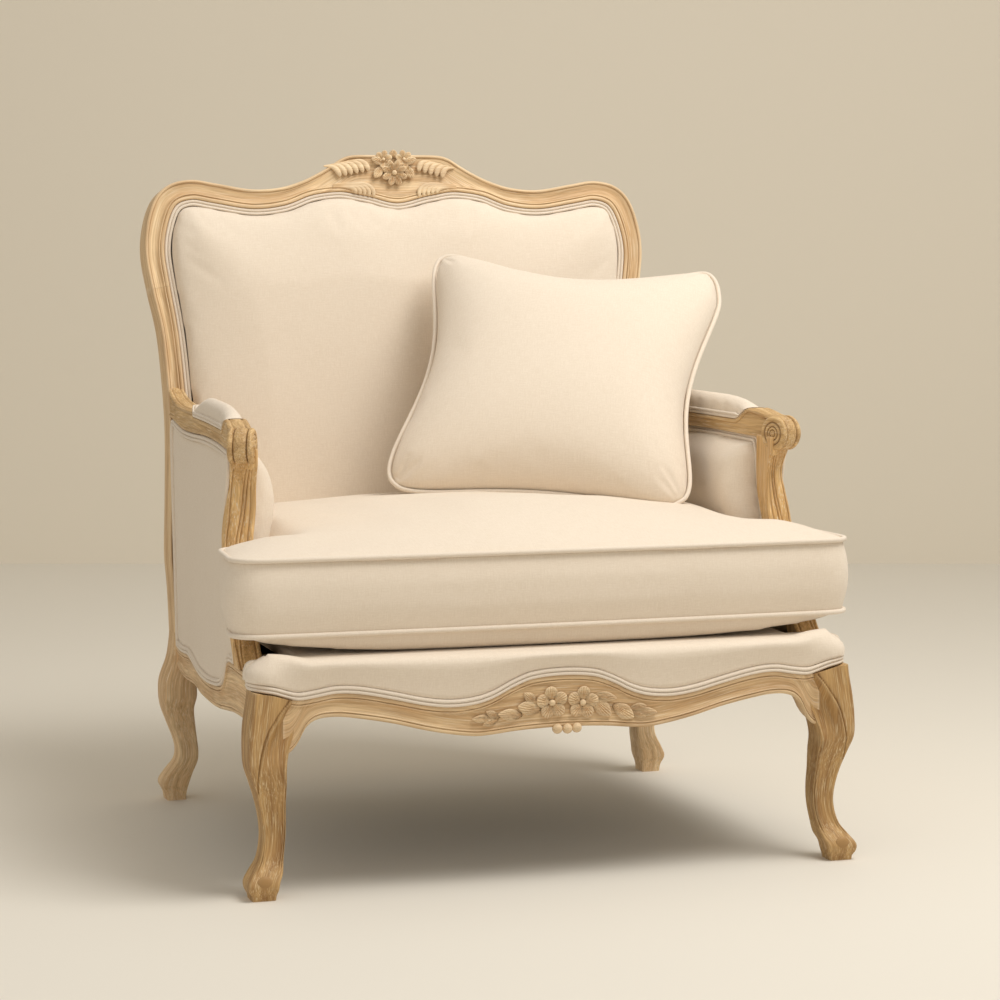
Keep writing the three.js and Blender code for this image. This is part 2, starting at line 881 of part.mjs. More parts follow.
function sideRearTenon(size) {
  const y = backFaceAt(stileTenonHeights.side) + tenonLength / 2;
  const x = sideOuterAt(y) - railThickness * 0.55;
  return box(size, new THREE.Vector3(x, y, stileTenonHeights.side));
}

function sideFrontTenon(size) {
  const y = -sideFront - tenonLength / 4;
  const x = sideHalfFront - railThickness * 0.55;
  return box(size, new THREE.Vector3(x, y, stileTenonHeights.side));
}

function apronTenon(size) {
  const x = railHalfLength - tenonLength * 0.15;
  const y = -(apronFace + apronInner) / 2;
  return box(size, new THREE.Vector3(x, y, stileTenonHeights.side - tenonThickness));
}

function supportLowTenon(size) {
  const { inner, outer } = supportEdges(railTop);
  const y = (inner + outer) / 2 - tenonLength;
  return box(size, new THREE.Vector3(sideHalfFront - railThickness / 2, y, railTop));
}

function supportHighTenon(size) {
  const { inner } = supportEdges(supportTop);
  const x = supportRow(1)[0] * sideHalfFront + armWidth / 2;
  return box(size, new THREE.Vector3(x, inner - tenonThickness, supportTop));
}

function lowerBackTenon(size) {
  const x = railHalfLength - rabbetWidth;
  return lean(box(size, new THREE.Vector3(x, lowerBackDepth, lowerBackRise)));
}

function backSeatTenon(size) {
  const x = backSeatHalf - tenonLength * 0.35;
  const y = backRailFront + railThickness / 2;
  return box(size, new THREE.Vector3(x, y, stileTenonHeights.side));
}

const lowerBackHeight = 50;
const lowerBackDepth = rabbetDepth + tongueThickness / 2;
const lowerBackRise = backPadBottom / Math.cos(recline) + lowerBackHeight / 2;

const acrossTenon = new THREE.Vector3(tenonLength * 2, tenonThickness, tenonWidth);
const lengthTenon = new THREE.Vector3(tenonThickness, tenonLength * 2, tenonWidth);
const uprightTenon = new THREE.Vector3(tenonThickness, tenonThickness, tenonLength * 2);
const thinTenon = new THREE.Vector3(tenonLength * 2, tenonThickness * 0.7, tenonWidth);

function cornerScrew(corner, radius, head) {
  const inward = new THREE.Vector2(-Math.sign(corner.x), -Math.sign(corner.y)).normalize();
  const start = blockFaceDistance - head.sink;
  const profile = [
    new THREE.Vector2(0, -screwBite),
    new THREE.Vector2(radius, -screwBite),
    new THREE.Vector2(radius, start),
    new THREE.Vector2(head.radius, start),
    new THREE.Vector2(head.radius, start + head.height),
    new THREE.Vector2(0, start + head.height),
  ];
  return new THREE.LatheGeometry(profile, 10)
    .rotateZ(-Math.PI / 2)
    .rotateZ(inward.angle())
    .translate(corner.x, corner.y, blockBottom + screwRise);
}

const blockFaceDistance = (blockSide - overrun) / Math.SQRT2;
const headShape = { radius: screwHead, height: screwHeadHeight, sink: 0 };
const holeShape = { radius: screwHead + gap, height: screwHeadHeight + overrun, sink: 0 };

// A triangular block glued and screwed into a corner of the seat frame.
function cornerBlock(corner) {
  const x = -Math.sign(corner.x) * blockSide;
  const y = -Math.sign(corner.y) * blockSide;
  const overX = Math.sign(corner.x) * overrun;
  const overY = Math.sign(corner.y) * overrun;
  const outline = new THREE.Shape([
    new THREE.Vector2(corner.x + overX, corner.y + overY),
    new THREE.Vector2(corner.x + x, corner.y + overY),
    new THREE.Vector2(corner.x + overX, corner.y + y),
  ]);
  return new THREE.ExtrudeGeometry(outline, { depth: blockTop - blockBottom, bevelEnabled: false })
    .translate(0, 0, blockBottom);
}

export const pieces = [];

function add(name, geometry, look) {
  pieces.push({ name, geometry, look });
}

function addPair(name, geometry, look) {
  add(`right_${name}`, geometry, look);
  add(`left_${name}`, mirrored(geometry), look);
}

function buildFrame() {
  const post = rawRearPost();
  const leg = rawFrontLeg();
  const forward = new THREE.Vector3(0, -1, 0);
  const backward = new THREE.Vector3(0, 1, 0);
  const inward = new THREE.Vector3(-1, 0, 0);
  const frontCorner = new THREE.Vector2(railHalfLength, -apronInner + railRecess);
  const rearCorner = new THREE.Vector2(backSeatHalf, backRailFront);
  const frontHole = cleaned(cornerScrew(frontCorner, screwRadius + gap, holeShape));
  const rearHole = cleaned(cornerScrew(rearCorner, screwRadius + gap, holeShape));

  const apron = coped(coped(apronBoard(), leg, inward), mirrored(leg), backward.clone().set(1, 0, 0));
  const apronPeg = cleaned(apronTenon(acrossTenon));
  add('front_apron_rail', joined(apron, apronPeg, mirrored(apronPeg)), woodLook);

  let side = coped(coped(sideBoard(), leg, backward), post, forward);
  side = joined(side, sideFrontTenon(lengthTenon), sideRearTenon(lengthTenon));
  side = cut(side, supportLowTenon(grown(uprightTenon)));
  addPair('side_rail', side, woodLook);

  const seatRings = steps(-backSeatHalf, backSeatHalf, 8).map((x) => {
    const low = backRailBottom + backRailArch * Math.cos((x / backSeatHalf) * (Math.PI / 2));
    return [
      [backRailFront, low], [backRailFront + railThickness, low],
      [backRailFront + railThickness, railTop], [backRailFront, railTop],
    ].map(([y, z]) => new THREE.Vector3(x, y, z));
  });
  const seatPeg = cleaned(backSeatTenon(acrossTenon));
  const seatBoard = cut(loft(seatRings), rearHole, mirrored(rearHole));
  add('back_seat_rail', joined(seatBoard, seatPeg, mirrored(seatPeg)), woodLook);

  const lowerHalf = railHalfLength - frameFace - gap;
  const lowerBoard = lean(box(
    new THREE.Vector3(lowerHalf * 2, tongueThickness, lowerBackHeight),
    new THREE.Vector3(0, lowerBackDepth, lowerBackRise),
  ));
  const lowerPeg = cleaned(lowerBackTenon(thinTenon));
  const lower = coped(coped(lowerBoard, post, inward), mirrored(post), backward.clone().set(1, 0, 0));
  add('lower_back_rail', joined(lower, lowerPeg, mirrored(lowerPeg)), innerWoodLook);

  add('crest_rail', crestRail(), woodLook);
  addPair('rear_post', cut(
    post,
    armTenon(grown(lengthTenon)),
    sideRearTenon(grown(lengthTenon)),
    lowerBackTenon(grown(thinTenon)),
    backSeatTenon(grown(acrossTenon)),
    rearHole,
  ), woodLook);
  addPair('front_leg', cut(
    leg,
    apronTenon(grown(acrossTenon)),
    sideFrontTenon(grown(lengthTenon)),
    frontHole,
  ), woodLook);

  const support = supportBody();
  const arm = joined(armBody(), armScroll());
  const armTrimmed = joined(coped(arm, post, forward), armTenon(lengthTenon));
  addPair('arm', cut(armTrimmed, supportHighTenon(grown(uprightTenon))), woodLook);
  const supportTrimmed = coped(support, arm, new THREE.Vector3(0, 0, -1));
  addPair('arm_support', joined(
    supportTrimmed,
    supportLowTenon(uprightTenon),
    supportHighTenon(uprightTenon),
  ), woodLook);

  const frontBlock = cut(
    coped(coped(cornerBlock(frontCorner), leg, backward), apronBoard(), backward),
    sideBoard(),
    sideBoard().translate(-gap, 0, 0),
    leg.clone().translate(-gap, 0, 0),
    frontHole,
  );
  addPair('front_corner_block', frontBlock, innerWoodLook);
  const rearBlock = cut(
    coped(coped(cornerBlock(rearCorner), post, forward), loft(seatRings), forward),
    sideBoard(),
    sideBoard().translate(-gap, 0, 0),
    post.clone().translate(-gap, 0, 0),
    rearHole,
  );
  addPair('rear_corner_block', rearBlock, innerWoodLook);
  addPair('front_screw', cleaned(cornerScrew(frontCorner, screwRadius, headShape)), steelLook);
  addPair('rear_screw', cleaned(cornerScrew(rearCorner, screwRadius, headShape)), steelLook);
}

function buildSuspension() {
  const low = railTop + gap + strapThickness / 2;
  const high = low + strapThickness + gap;
  const spanFront = -apronInner - railBead;
  const spanRear = backRailFront + railThickness - strapInset;
  steps(0, 1, sideStraps - 1).forEach((share, place) => {
    const y = THREE.MathUtils.lerp(spanFront + strapWidth * 3, spanRear - strapWidth * 3, share);
    const half = sideOuterAt(y) - railRecess - strapInset;
    add(`side_web_${place + 1}`, box(
      new THREE.Vector3(half * 2, strapWidth, strapThickness),
      new THREE.Vector3(0, y, low),
    ), webLook);
  });
  steps(-1, 1, frontStraps - 1).forEach((share, place) => {
    const x = share * (deckHalfWidth - strapWidth * 2);
    add(`front_web_${place + 1}`, box(
      new THREE.Vector3(strapWidth, spanRear - spanFront, strapThickness),
      new THREE.Vector3(x, (spanRear + spanFront) / 2, high),
    ), webLook);
  });
  const bottom = lowerBackRise + lowerBackHeight / 2 + gap;
  steps(-1, 1, backStraps - 1).forEach((share, place) => {
    const step = Math.abs(share) * (crestJoint / 2);
    const top = backEdge(step, faceAt(step) + rabbetWidth).y - gap * 2;
    const x = backEdge(step, faceAt(step)).x * Math.sign(share);
    add(`back_web_${place + 1}`, lean(box(
      new THREE.Vector3(strapWidth, strapThickness, top - bottom),
      new THREE.Vector3(x, lowerBackDepth, (top + bottom) / 2),
    )), webLook);
  });
  const inner = sideOuterAt(0) - railThickness - overrun * 3;
  const cover = new THREE.Shape([
    new THREE.Vector2(-inner, -apronInner + overrun * 2),
    new THREE.Vector2(inner, -apronInner + overrun * 2),
    new THREE.Vector2(backSeatHalf - overrun * 2, backRailFront - overrun),
    new THREE.Vector2(overrun * 2 - backSeatHalf, backRailFront - overrun),
  ]);
  add('dust_cover', new THREE.ExtrudeGeometry(cover, { depth: coverThickness, bevelEnabled: false })
    .translate(0, 0, blockBottom - gap - coverThickness), coverLook);
}

// The visible wood edge inside the back frame, closed along the bottom.
function backOpening(bottom) {
  const places = [...steps(0, crestJoint, crestJoint * 2), ...steps(crestJoint + 1, stileEnd, 6)];
  const half = places.map((step) => backEdge(step, faceAt(step)))
    .filter((point) => point.y > bottom + frameFace);
  const right = half.slice().reverse();
  const foot = steps(crestJoint, stileEnd, frameFace)
    .map((step) => backEdge(step, faceAt(step)))
    .find((point) => point.y < bottom);
  const corner = new THREE.Vector2(Math.min(right[0].x, foot.x) - gap, bottom);
  const middle = new THREE.Vector2(corner.x / 3, bottom);
  const flip = (point) => new THREE.Vector2(-point.x, point.y);
  return [
    flip(middle), middle, corner,
    ...right,
    ...half.slice(1).map(flip),
    flip(corner),
  ];
}

function buildBackUpholstery() {
  const front = rabbetDepth - gap;
  const rear = rabbetDepth + tongueThickness + gap;
  const ahead = (x, rise, height) => leanPoint(x, front - height, rise);
  const behind = (x, rise, height) => leanPoint(x, rear + height, rise);
  const inside = backOpening(backPadBottom / Math.cos(recline));
  const outside = backOpening(outsideBottom / Math.cos(recline));
  const weltIn = gap + weltWidth / 2;
  const padIn = weltWidth + gap * 2;
  add('inside_back_pad', pad(within(inside, padIn), backPadEdge, backPadCrown, ahead), clothLook);
  add('inside_back_welt', doubleWelt(within(inside, weltIn), ahead), trimLook);
  const panel = pad(within(outside, padIn), outsideEdge, outsideCrown, behind, [], flatShares);
  add('outside_back_panel', panel, clothLook);
  add('outside_back_welt', doubleWelt(within(outside, weltIn), behind), trimLook);
}

// Wood edge round the outside panel, in the side's own plane (along Y, up Z).
function sideOpening() {
  const rearLow = backFaceAt(railTop) - railRecess - overrun;
  const frontLow = supportEdges(railTop + railRecess).outer + overrun * 2;
  const length = sideFront + railRecess + sideRear;
  const bottom = sideRailShares.map((row) => row[0] * length - sideFront - railRecess)
    .filter((y) => y > frontLow && y < rearLow - overrun)
    .map((y) => new THREE.Vector2(y, Math.min(sideTopAt(y), railTop) + gap));
  bottom.push(new THREE.Vector2(rearLow, sideTopAt(rearLow) + gap));
  const rear = steps(railTop, armLowAt(backFaceAt(armHeight)) - armTongue, 4)
    .map((z) => new THREE.Vector2(backFaceAt(z) - railRecess, z));
  const top = armPlaces(backFaceAt(armHeight) - railRecess * 3, scrollRadius - armFront)
    .map((y) => new THREE.Vector2(y, armLowAt(y) - gap));
  const front = supportHeights(railTop + railRecess * 2)
    .map((z) => new THREE.Vector2(supportEdges(z).outer + gap, z));
  return [...bottom, ...rear, ...top, ...front];
}

// Wood edge round the inside arm pad, closed along the seat and up the back.
function innerOpening() {
  const rearAt = (z) => backFaceAt(z) - rabbetDepth;
  const rear = steps(innerPadBottom, armLowAt(0) - armTongue * 2, 4)
    .map((z) => new THREE.Vector2(rearAt(z), z));
  const frontTop = supportEdges(supportTop).inner + armTongue;
  const top = armPlaces(rearAt(armHeight) - rabbetDepth * 2, frontTop)
    .map((y) => new THREE.Vector2(y, armLowAt(y) - gap));
  const front = supportHeights(innerPadBottom + armTongue)
    .map((z) => new THREE.Vector2(supportEdges(z).inner + gap, z));
  const frontLow = supportEdges(innerPadBottom).inner + gap;
  const bottom = steps(frontLow, rearAt(innerPadBottom) - rabbetDepth, 5)
    .map((y) => new THREE.Vector2(y, innerPadBottom));
  return [...rear, ...top, ...front, ...bottom];
}

function buildSideUpholstery() {
  const weltIn = gap + weltWidth / 2;
  const padIn = weltWidth + gap * 2;
  const bends = [0.4, 0.8];
  const out = (y, z, height) => new THREE.Vector3(sideFaceAt(y, z) + gap + height, y, z);
  const inwards = (y, z, height) => new THREE.Vector3(
    sideFaceAt(y, z) - sideTongue - gap - height,
    y,
    z,
  );
  const padded = (y, z, height) => {
    const back = inwards(y, z, 0);
    const share = height / (innerPadEdge + innerPadCrown);
    return back.setX(THREE.MathUtils.lerp(back.x, innerPadHalf, share));
  };
  const outer = sideOpening();
  const inner = innerOpening();
  const easy = (y, z, height) => out(y, z, height + gap);
  const panel = pad(within(outer, padIn), sidePanelEdge, sidePanelCrown, easy, bends, flatShares);
  const armPad = pad(within(inner, padIn), innerPadEdge, innerPadCrown, padded, bends);
  addPair('outside_arm_panel', panel, clothLook);
  addPair('outside_arm_welt', doubleWelt(within(outer, weltIn), out), trimLook);
  addPair('inside_arm_pad', armPad, clothLook);
  addPair('inside_arm_welt', doubleWelt(within(inner, weltIn), inwards), trimLook);
}

// Outline of the padded arm top, in the arm's own plan (along Y, out X).
function armPadOutline(distanceIn) {
  const [start, end] = armPadShares;
  const places = steps(start, end, 6).map((share) => armRear - share * (armRear + armFront));
  const half = armWidth / 2 - railBead / 2;
  const outer = places.map((y) => new THREE.Vector2(armRow(armAlong(y))[0] * sideHalfRear + half, y));
  const inner = places.map((y) => new THREE.Vector2(armRow(armAlong(y))[0] * sideHalfRear - half, y));
  return inset([...inner.reverse(), ...outer].reverse(), distanceIn).reverse();
}

function armPadBedAt(y) {
  return armRow(armAlong(y))[1] * armHeight + gap;
}

function buildArmPads() {
  const up = (x, y, height) => new THREE.Vector3(x, y, armPadBedAt(y) + height);
  addPair('arm_pad', pad(armPadOutline(weltWidth + gap * 2), armPadEdge, armPadCrown, up), clothLook);
  addPair('arm_pad_welt', doubleWelt(armPadOutline(gap + weltWidth / 2), up), trimLook);
}

// Line of the front border's foot: along the apron, round the corner and back to the side rail.
function borderPath() {
  const straight = sideHalfFront - borderTurn;
  const along = apronShares.map((row) => row[0] * railHalfLength).filter((x) => x < straight);
  const right = along.map((x) => ({ x, y: apronFaceAt(x), turn: 0 }));
  borderCorner(0, 3).forEach((spot, place) => {
    right.push({ x: spot.x, y: spot.y, turn: (place / 3) * (Math.PI / 2) });
  });
  right.push({ x: sideHalfFront, y: -sideFront - railRecess - gap, turn: Math.PI / 2 });
  const left = right.slice(1).reverse().map(({ x, y, turn }) => ({ x: -x, y, turn: -turn }));
  return [...left, ...right];
}

// Height of the border's foot and of its top along the path.
function borderFoot({ x, y }) {
  return apronRow(Math.min(Math.abs(x) / railHalfLength, 1.13))[1] * railTop
    + Math.max(y + apronFace - borderTurn, 0) * 0.4;
}

function borderTop({ x }) {
  const start = sideHalfFront - borderTurn * 2;
  const share = Math.max(Math.abs(x) - start, 0) / (borderTurn * 2);
  return deckTop - borderDrop * share ** 2;
}

function buildSeat() {
  const deckBottom = railTop + strapThickness * 2 + gap * 3;
  const path = borderPath();
  const straight = sideHalfFront - borderTurn;
  const frontEdge = path.filter(({ x }) => Math.abs(x) <= straight)
    .map(({ x, y }) => new THREE.Vector2(x, y + borderDepth + gap));
  const earHalf = sideHalfFront - borderDepth - gap;
  const outline = [
    ...frontEdge,
    new THREE.Vector2(earHalf, -deckEarRear),
    new THREE.Vector2(deckHalfWidth, -deckEarRear),
    new THREE.Vector2(deckHalfWidth, deckRear),
    new THREE.Vector2(-deckHalfWidth, deckRear),
    new THREE.Vector2(-deckHalfWidth, -deckEarRear),
    new THREE.Vector2(-earHalf, -deckEarRear),
  ];
  const deck = new THREE.ExtrudeGeometry(new THREE.Shape(outline), {
    depth: deckTop - deckBottom,
    bevelEnabled: false,
  }).translate(0, 0, deckBottom);
  add('seat_deck', deck, clothLook);

  const offset = (spot, out, z) => new THREE.Vector3(
    spot.x + Math.sin(spot.turn) * out,
    spot.y - Math.cos(spot.turn) * out,
    z,
  );
  const rings = path.map((spot) => {
    const foot = borderFoot(spot) + gap;
    const low = foot + weltWidth * 1.15 + gap;
    const top = borderTop(spot);
    return [
      [gap - railRecess, foot], [-borderLap, foot], [-borderLap, low],
      [borderPad - borderEdge, low], [borderPad, low + borderEdge],
      [borderPad, top - borderEdge * 2 - borderDrop * Math.abs(Math.sin(spot.turn)) * 0.6],
      [borderPad - borderEdge * 1.6, top - borderEdge / 2],
      [-borderDepth, top], [-borderDepth, railTop + gap], [gap - railRecess, railTop + gap],
    ].map(([out, z]) => offset(spot, out, z));
  });
  add('front_border_pad', loft(rings), clothLook);
  const welt = [
    [0, -0.5], [0, 0.5], [1, 0.3], [0.72, 0], [1, -0.3],
  ];
  add('front_border_welt', loft(path.map((spot) => {
    const middle = borderFoot(spot) + gap + weltWidth * 0.54;
    return welt.map(([height, across]) => offset(
      spot,
      gap - borderLap + height * weltHeight,
      middle + across * weltWidth,
    ));
  })), trimLook);
}

// Outline of the T cushion, its right half from the front's centre to the rear's and mirrored.
function cushionOutline(earRear) {
  const corner = cushionCorner;
  const arc = (x, y, from, to) => steps(from, to, 3).map((angle) => new THREE.Vector2(
    x + corner * Math.cos(angle * Math.PI),
    y + corner * Math.sin(angle * Math.PI),
  ));
  const bow = (share) => -cushionFront - cushionBow * (1 - share ** 2);
  const front = [0, 0.3, 0.6, 0.85]
    .map((share) => new THREE.Vector2(share * cushionEarHalf, bow(share)));
  const right = [
    ...front,
    ...arc(cushionEarHalf - corner, -cushionFront + corner, -0.5, 0),
    ...arc(cushionEarHalf - corner, -earRear - corner, 0, 0.5),
    ...arc(cushionHalf + corner, -earRear + corner, 1.5, 1),
    new THREE.Vector2(cushionHalf, -earRear / 3),
    new THREE.Vector2(cushionHalf, cushionRear / 3),
    ...arc(cushionHalf - corner, cushionRear - corner, 0, 0.5),
    new THREE.Vector2(cushionHalf / 2, cushionRear),
    new THREE.Vector2(0, cushionRear),
  ];
  const left = right.slice(1, -1).map((point) => new THREE.Vector2(-point.x, point.y)).reverse();
  return [...right, ...left];
}

// How far the filling lifts the top: most at the middle, nothing at the seams.
function cushionSwell(spot) {
  const middle = (cushionRear - cushionFront) / 2;
  const halfDepth = (cushionRear + cushionFront) / 2;
  const across = Math.min(Math.abs(spot.x) / cushionEarHalf, 1);
  const lengthways = Math.min(Math.abs(spot.y - middle) / halfDepth, 1);
  return (1 - across ** 1.9) * (1 - lengthways ** 2.6);
}

function buildSeatCushion() {
  const low = cushionOutline(cushionEarRear);
  const high = cushionOutline(cushionEarRear - cushionEarLean);
  const centre = new THREE.Vector2(0, -cushionEarRear - cushionCorner);
  const level = (outline, share, height) => outline.map((point) => {
    const spot = centre.clone().lerp(point, share);
    return new THREE.Vector3(spot.x, spot.y, height(spot));
  });
  const side = (share, out) => {
    const outline = low.map((point, place) => point.clone().lerp(high[place], share));
    const height = THREE.MathUtils.lerp(cushionLow, cushionHigh, share);
    return inset(outline, -out).map((point) => new THREE.Vector3(point.x, point.y, height));
  };
  const crown = (spot) => cushionHigh + cushionCrown * cushionSwell(spot);
  const sag = (spot) => {
    const share = Math.min(Math.abs(spot.x) / cushionEarHalf, 1) ** 5;
    return THREE.MathUtils.lerp(cushionRest, cushionLow, share);
  };
  const rings = [
    level(low, 0.5, sag),
    level(low, 0.9, sag),
    level(low, 0.965, (spot) => (sag(spot) + cushionLow) / 2),
    side(0, 0),
    side(0.33, borderSwell),
    side(0.67, borderSwell),
    side(1, 0),
    level(high, 0.94, crown),
    level(high, 0.78, crown),
    level(high, 0.5, crown),
    level(high, 0.2, crown),
  ];
  add('seat_cushion', loft(rings), clothLook);
  const up = new THREE.Vector3(0, 0, 1);
  add('cushion_top_piping', pipingLoop(side(1, 0), cordRadius, up), trimLook);
  add('cushion_bottom_piping', pipingLoop(side(0, 0), cordRadius, up), trimLook);
}

function pillowOutline() {
  const sideSteps = 9;
  const corners = [[-1, -1], [1, -1], [1, 1], [-1, 1]].map(([x, y]) => new THREE.Vector2(x, y));
  return corners.flatMap((corner, place) => {
    const next = corners[(place + 1) % corners.length];
    const inward = corner.clone().add(next).multiplyScalar(-0.5);
    return steps(0, 1, sideSteps).slice(0, -1).map((share) => corner.clone()
      .lerp(next, share)
      .multiplyScalar(pillowHalf)
      .addScaledVector(inward, pillowDrawIn * Math.sin(share * Math.PI)));
  });
}

function pillowTurnMatrix() {
  const turn = new THREE.Matrix4().makeRotationZ(pillowTurn);
  turn.multiply(new THREE.Matrix4().makeRotationX(-pillowLean));
  turn.multiply(new THREE.Matrix4().makeRotationY(-pillowRoll));
  return turn.setPosition(pillowCentre);
}

function buildPillow() {
  const outline = pillowOutline();
  const placed = pillowTurnMatrix();
  const level = (share, side) => outline.map((point) => {
    const spot = point.clone().multiplyScalar(share);
    const across = Math.min(Math.abs(spot.x) / pillowHalf, 1);
    const upwards = Math.min(Math.abs(spot.y) / pillowHalf, 1);
    const swell = ((1 - across ** 2.2) * (1 - upwards ** 2.2)) ** 0.62;
    const depth = (side * pillowThickness * swell) / 2;
    return new THREE.Vector3(spot.x, depth, spot.y).applyMatrix4(placed);
  });
  const shares = [0.16, 0.45, 0.7, 0.88, 0.97];
  const rings = [
    ...shares.map((share) => level(share, -1)),
    level(1, 0),
    ...shares.slice().reverse().map((share) => level(share, 1)),
  ];
  add('throw_pillow', loft(rings), clothLook);
  const seam = outline.map((point) => new THREE.Vector3(point.x, 0, point.y).applyMatrix4(placed));
  const facing = new THREE.Vector3(0, -1, 0).transformDirection(placed);
  add('pillow_piping', pipingLoop(seam, pillowCord, facing), trimLook);
}

buildFrame();
buildSuspension();
buildBackUpholstery();
buildSideUpholstery();
buildArmPads();
buildSeat();
buildSeatCushion();
buildPillow();

const chair = new THREE.Group();
pieces.forEach(({ name, geometry, look }) => {
  const mesh = new THREE.Mesh(geometry, new THREE.MeshStandardMaterial(look));
  mesh.name = name;
  chair.add(mesh);
});
const bounds = new THREE.Box3().setFromObject(chair);
chair.position.y = -(bounds.min.y + bounds.max.y) / 2;

export default chair;
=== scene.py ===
"""A wide carved armchair with a loose seat cushion and a throw pillow, dressed over its frame."""
from bisect import bisect_left
from math import cos, pi, radians, sin, tan

import bmesh
import bpy
import numpy as np
from mathutils import Matrix, Vector


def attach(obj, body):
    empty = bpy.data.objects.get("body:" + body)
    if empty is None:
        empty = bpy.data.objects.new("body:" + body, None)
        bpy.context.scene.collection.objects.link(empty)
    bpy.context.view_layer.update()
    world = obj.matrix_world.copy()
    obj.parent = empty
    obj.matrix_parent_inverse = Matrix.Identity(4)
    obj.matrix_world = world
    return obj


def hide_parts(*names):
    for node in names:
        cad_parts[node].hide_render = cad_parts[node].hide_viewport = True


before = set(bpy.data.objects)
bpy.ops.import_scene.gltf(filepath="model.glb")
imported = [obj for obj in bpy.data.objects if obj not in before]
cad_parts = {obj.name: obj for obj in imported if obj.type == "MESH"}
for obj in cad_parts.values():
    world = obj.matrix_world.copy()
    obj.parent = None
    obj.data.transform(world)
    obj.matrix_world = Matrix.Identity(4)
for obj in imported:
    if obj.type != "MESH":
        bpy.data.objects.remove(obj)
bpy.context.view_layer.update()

# The view. A long portrait lens at eye height, a little to the left of the chair's front,
# looks slightly down on it.
eye = (-1.296, -4.249, 0.923)
heading, dip = radians(17.57), radians(5.6)


def linked(name, data):
    """A new object in the scene."""
    thing = bpy.data.objects.new(name, data)
    bpy.context.scene.collection.objects.link(thing)
    return thing


lens = bpy.data.cameras.new("portrait_lens")
lens.lens = 106.5
lens.sensor_width = 36
camera = linked("viewpoint", lens)
camera.location = eye
camera.rotation_euler = (pi / 2 - dip, 0, -heading)
bpy.context.scene.camera = camera

# Crest rail and rear posts. Oak, band sawn to a serpentine outline, with a bead worked along
# each edge of the face and a cove between, then limed: white wax left in the open grain.
# Crest and posts are scarfed together below the shoulders.
drawing_shift = 0.01894  # the frame is drawn from a line this far ahead of the chair's middle
recline = radians(9.5)
back_foot = 0.216
both_sides = (("right", False), ("left", True))  # the left is the right one mirrored
shoulder = 14

# Outer edge from the crest's centre down the stile, on the sloping face: out, up, face width.
back_line = [
    (0, 1.026, 0.0741), (0.063, 1.026, 0.062), (0.0872, 1.0215, 0.0543), (0.1088, 1.0085, 0.045),
    (0.1322, 0.9952, 0.0388), (0.1589, 0.9829, 0.0341), (0.1935, 0.9727, 0.031),
    (0.2402, 0.9696, 0.031), (0.2977, 0.9788, 0.031), (0.3378, 0.9847, 0.031),
    (0.374, 0.9768, 0.0326), (0.3982, 0.9542, 0.0335), (0.4128, 0.9131, 0.0326),
    (0.417, 0.867, 0.031), (0.4091, 0.8105, 0.0295), (0.3974, 0.748, 0.0267),
    (0.392, 0.6772, 0.027), (0.3899, 0.591, 0.0279), (0.3949, 0.475, 0.0295),
    (0.3991, 0.3971, 0.031), (0.397, 0.3386, 0.031), (0.3962, 0.246, 0.031),
]
stile_end = len(back_line) - 1


def between(rows, at):
    """A row of a table at a place between its rows, eased through them."""
    at = min(max(at, rows[0][0]), rows[-1][0])
    low = min(max(bisect_left(rows, at, key=lambda row: row[0]) - 1, 0), len(rows) - 2)
    before, first, last = rows[max(low - 1, 0)], rows[low], rows[low + 1]
    after = rows[min(low + 2, len(rows) - 1)]
    step = last[0] - first[0]
    t = (at - first[0]) / step
    found = []
    for column in range(1, len(first)):
        rise = (last[column] - before[column]) / (last[0] - before[0]) * step
        fall = (after[column] - first[column]) / (after[0] - first[0]) * step
        found.append(
            first[column] * (2 * t**3 - 3 * t**2 + 1) + rise * (t**3 - 2 * t**2 + t)
            + last[column] * (3 * t**2 - 2 * t**3) + fall * (t**3 - t**2)
        )
    return found


back_rows = [(-2, -0.0872, 1.0215, 0.0543), (-1, -0.063, 1.026, 0.062)]
back_rows += [(place, *row) for place, row in enumerate(back_line)]

# Edge of the opening under the crest, at the same stations.
opening_line = [
    (-2, -0.068, 0.9625), (-1, -0.046, 0.9583), (0, 0, 0.948), (1, 0.046, 0.9583),
    (2, 0.068, 0.9625), (3, 0.09, 0.9662), (4, 0.115, 0.9652), (5, 0.146, 0.9595),
    (6, 0.1885, 0.944), (7, 0.242, 0.93865), (8, 0.3024, 0.9482),
]
crown_end = 7  # from here on, the face's own width gives its inner edge


def back_edge(step, distance_in):
    """A point of the back's sloping face, set in from the outer edge."""
    side = -1 if step < 0 else 1
    at = min(abs(step), stile_end)
    x, rise, _ = between(back_rows, at)
    if at < crown_end:
        outer, inner = Vector((x, rise)), Vector(between(opening_line, at))
        spot = outer + (inner - outer).normalized() * distance_in
        return Vector((side * spot.x, spot.y))
    before = between(back_rows, max(at - 0.05, -1))
    after = between(back_rows, min(at + 0.05, stile_end))
    along = Vector((after[0] - before[0], after[1] - before[1])).normalized()
    return Vector((side * (x + along.y * distance_in), rise - along.x * distance_in))


def face_at(step):
    at = abs(step)
    if at < crown_end:
        return (Vector(between(opening_line, at)) - Vector(between(back_rows, at)[:2])).length
    return between(back_rows, at)[2]


def leaning(x, depth, rise):
    """From the back's own face (out, behind it, up the slope) into the chair."""
    return Vector((
        x,
        back_foot + depth * cos(recline) + rise * sin(recline),
        rise * cos(recline) - depth * sin(recline),
    ))


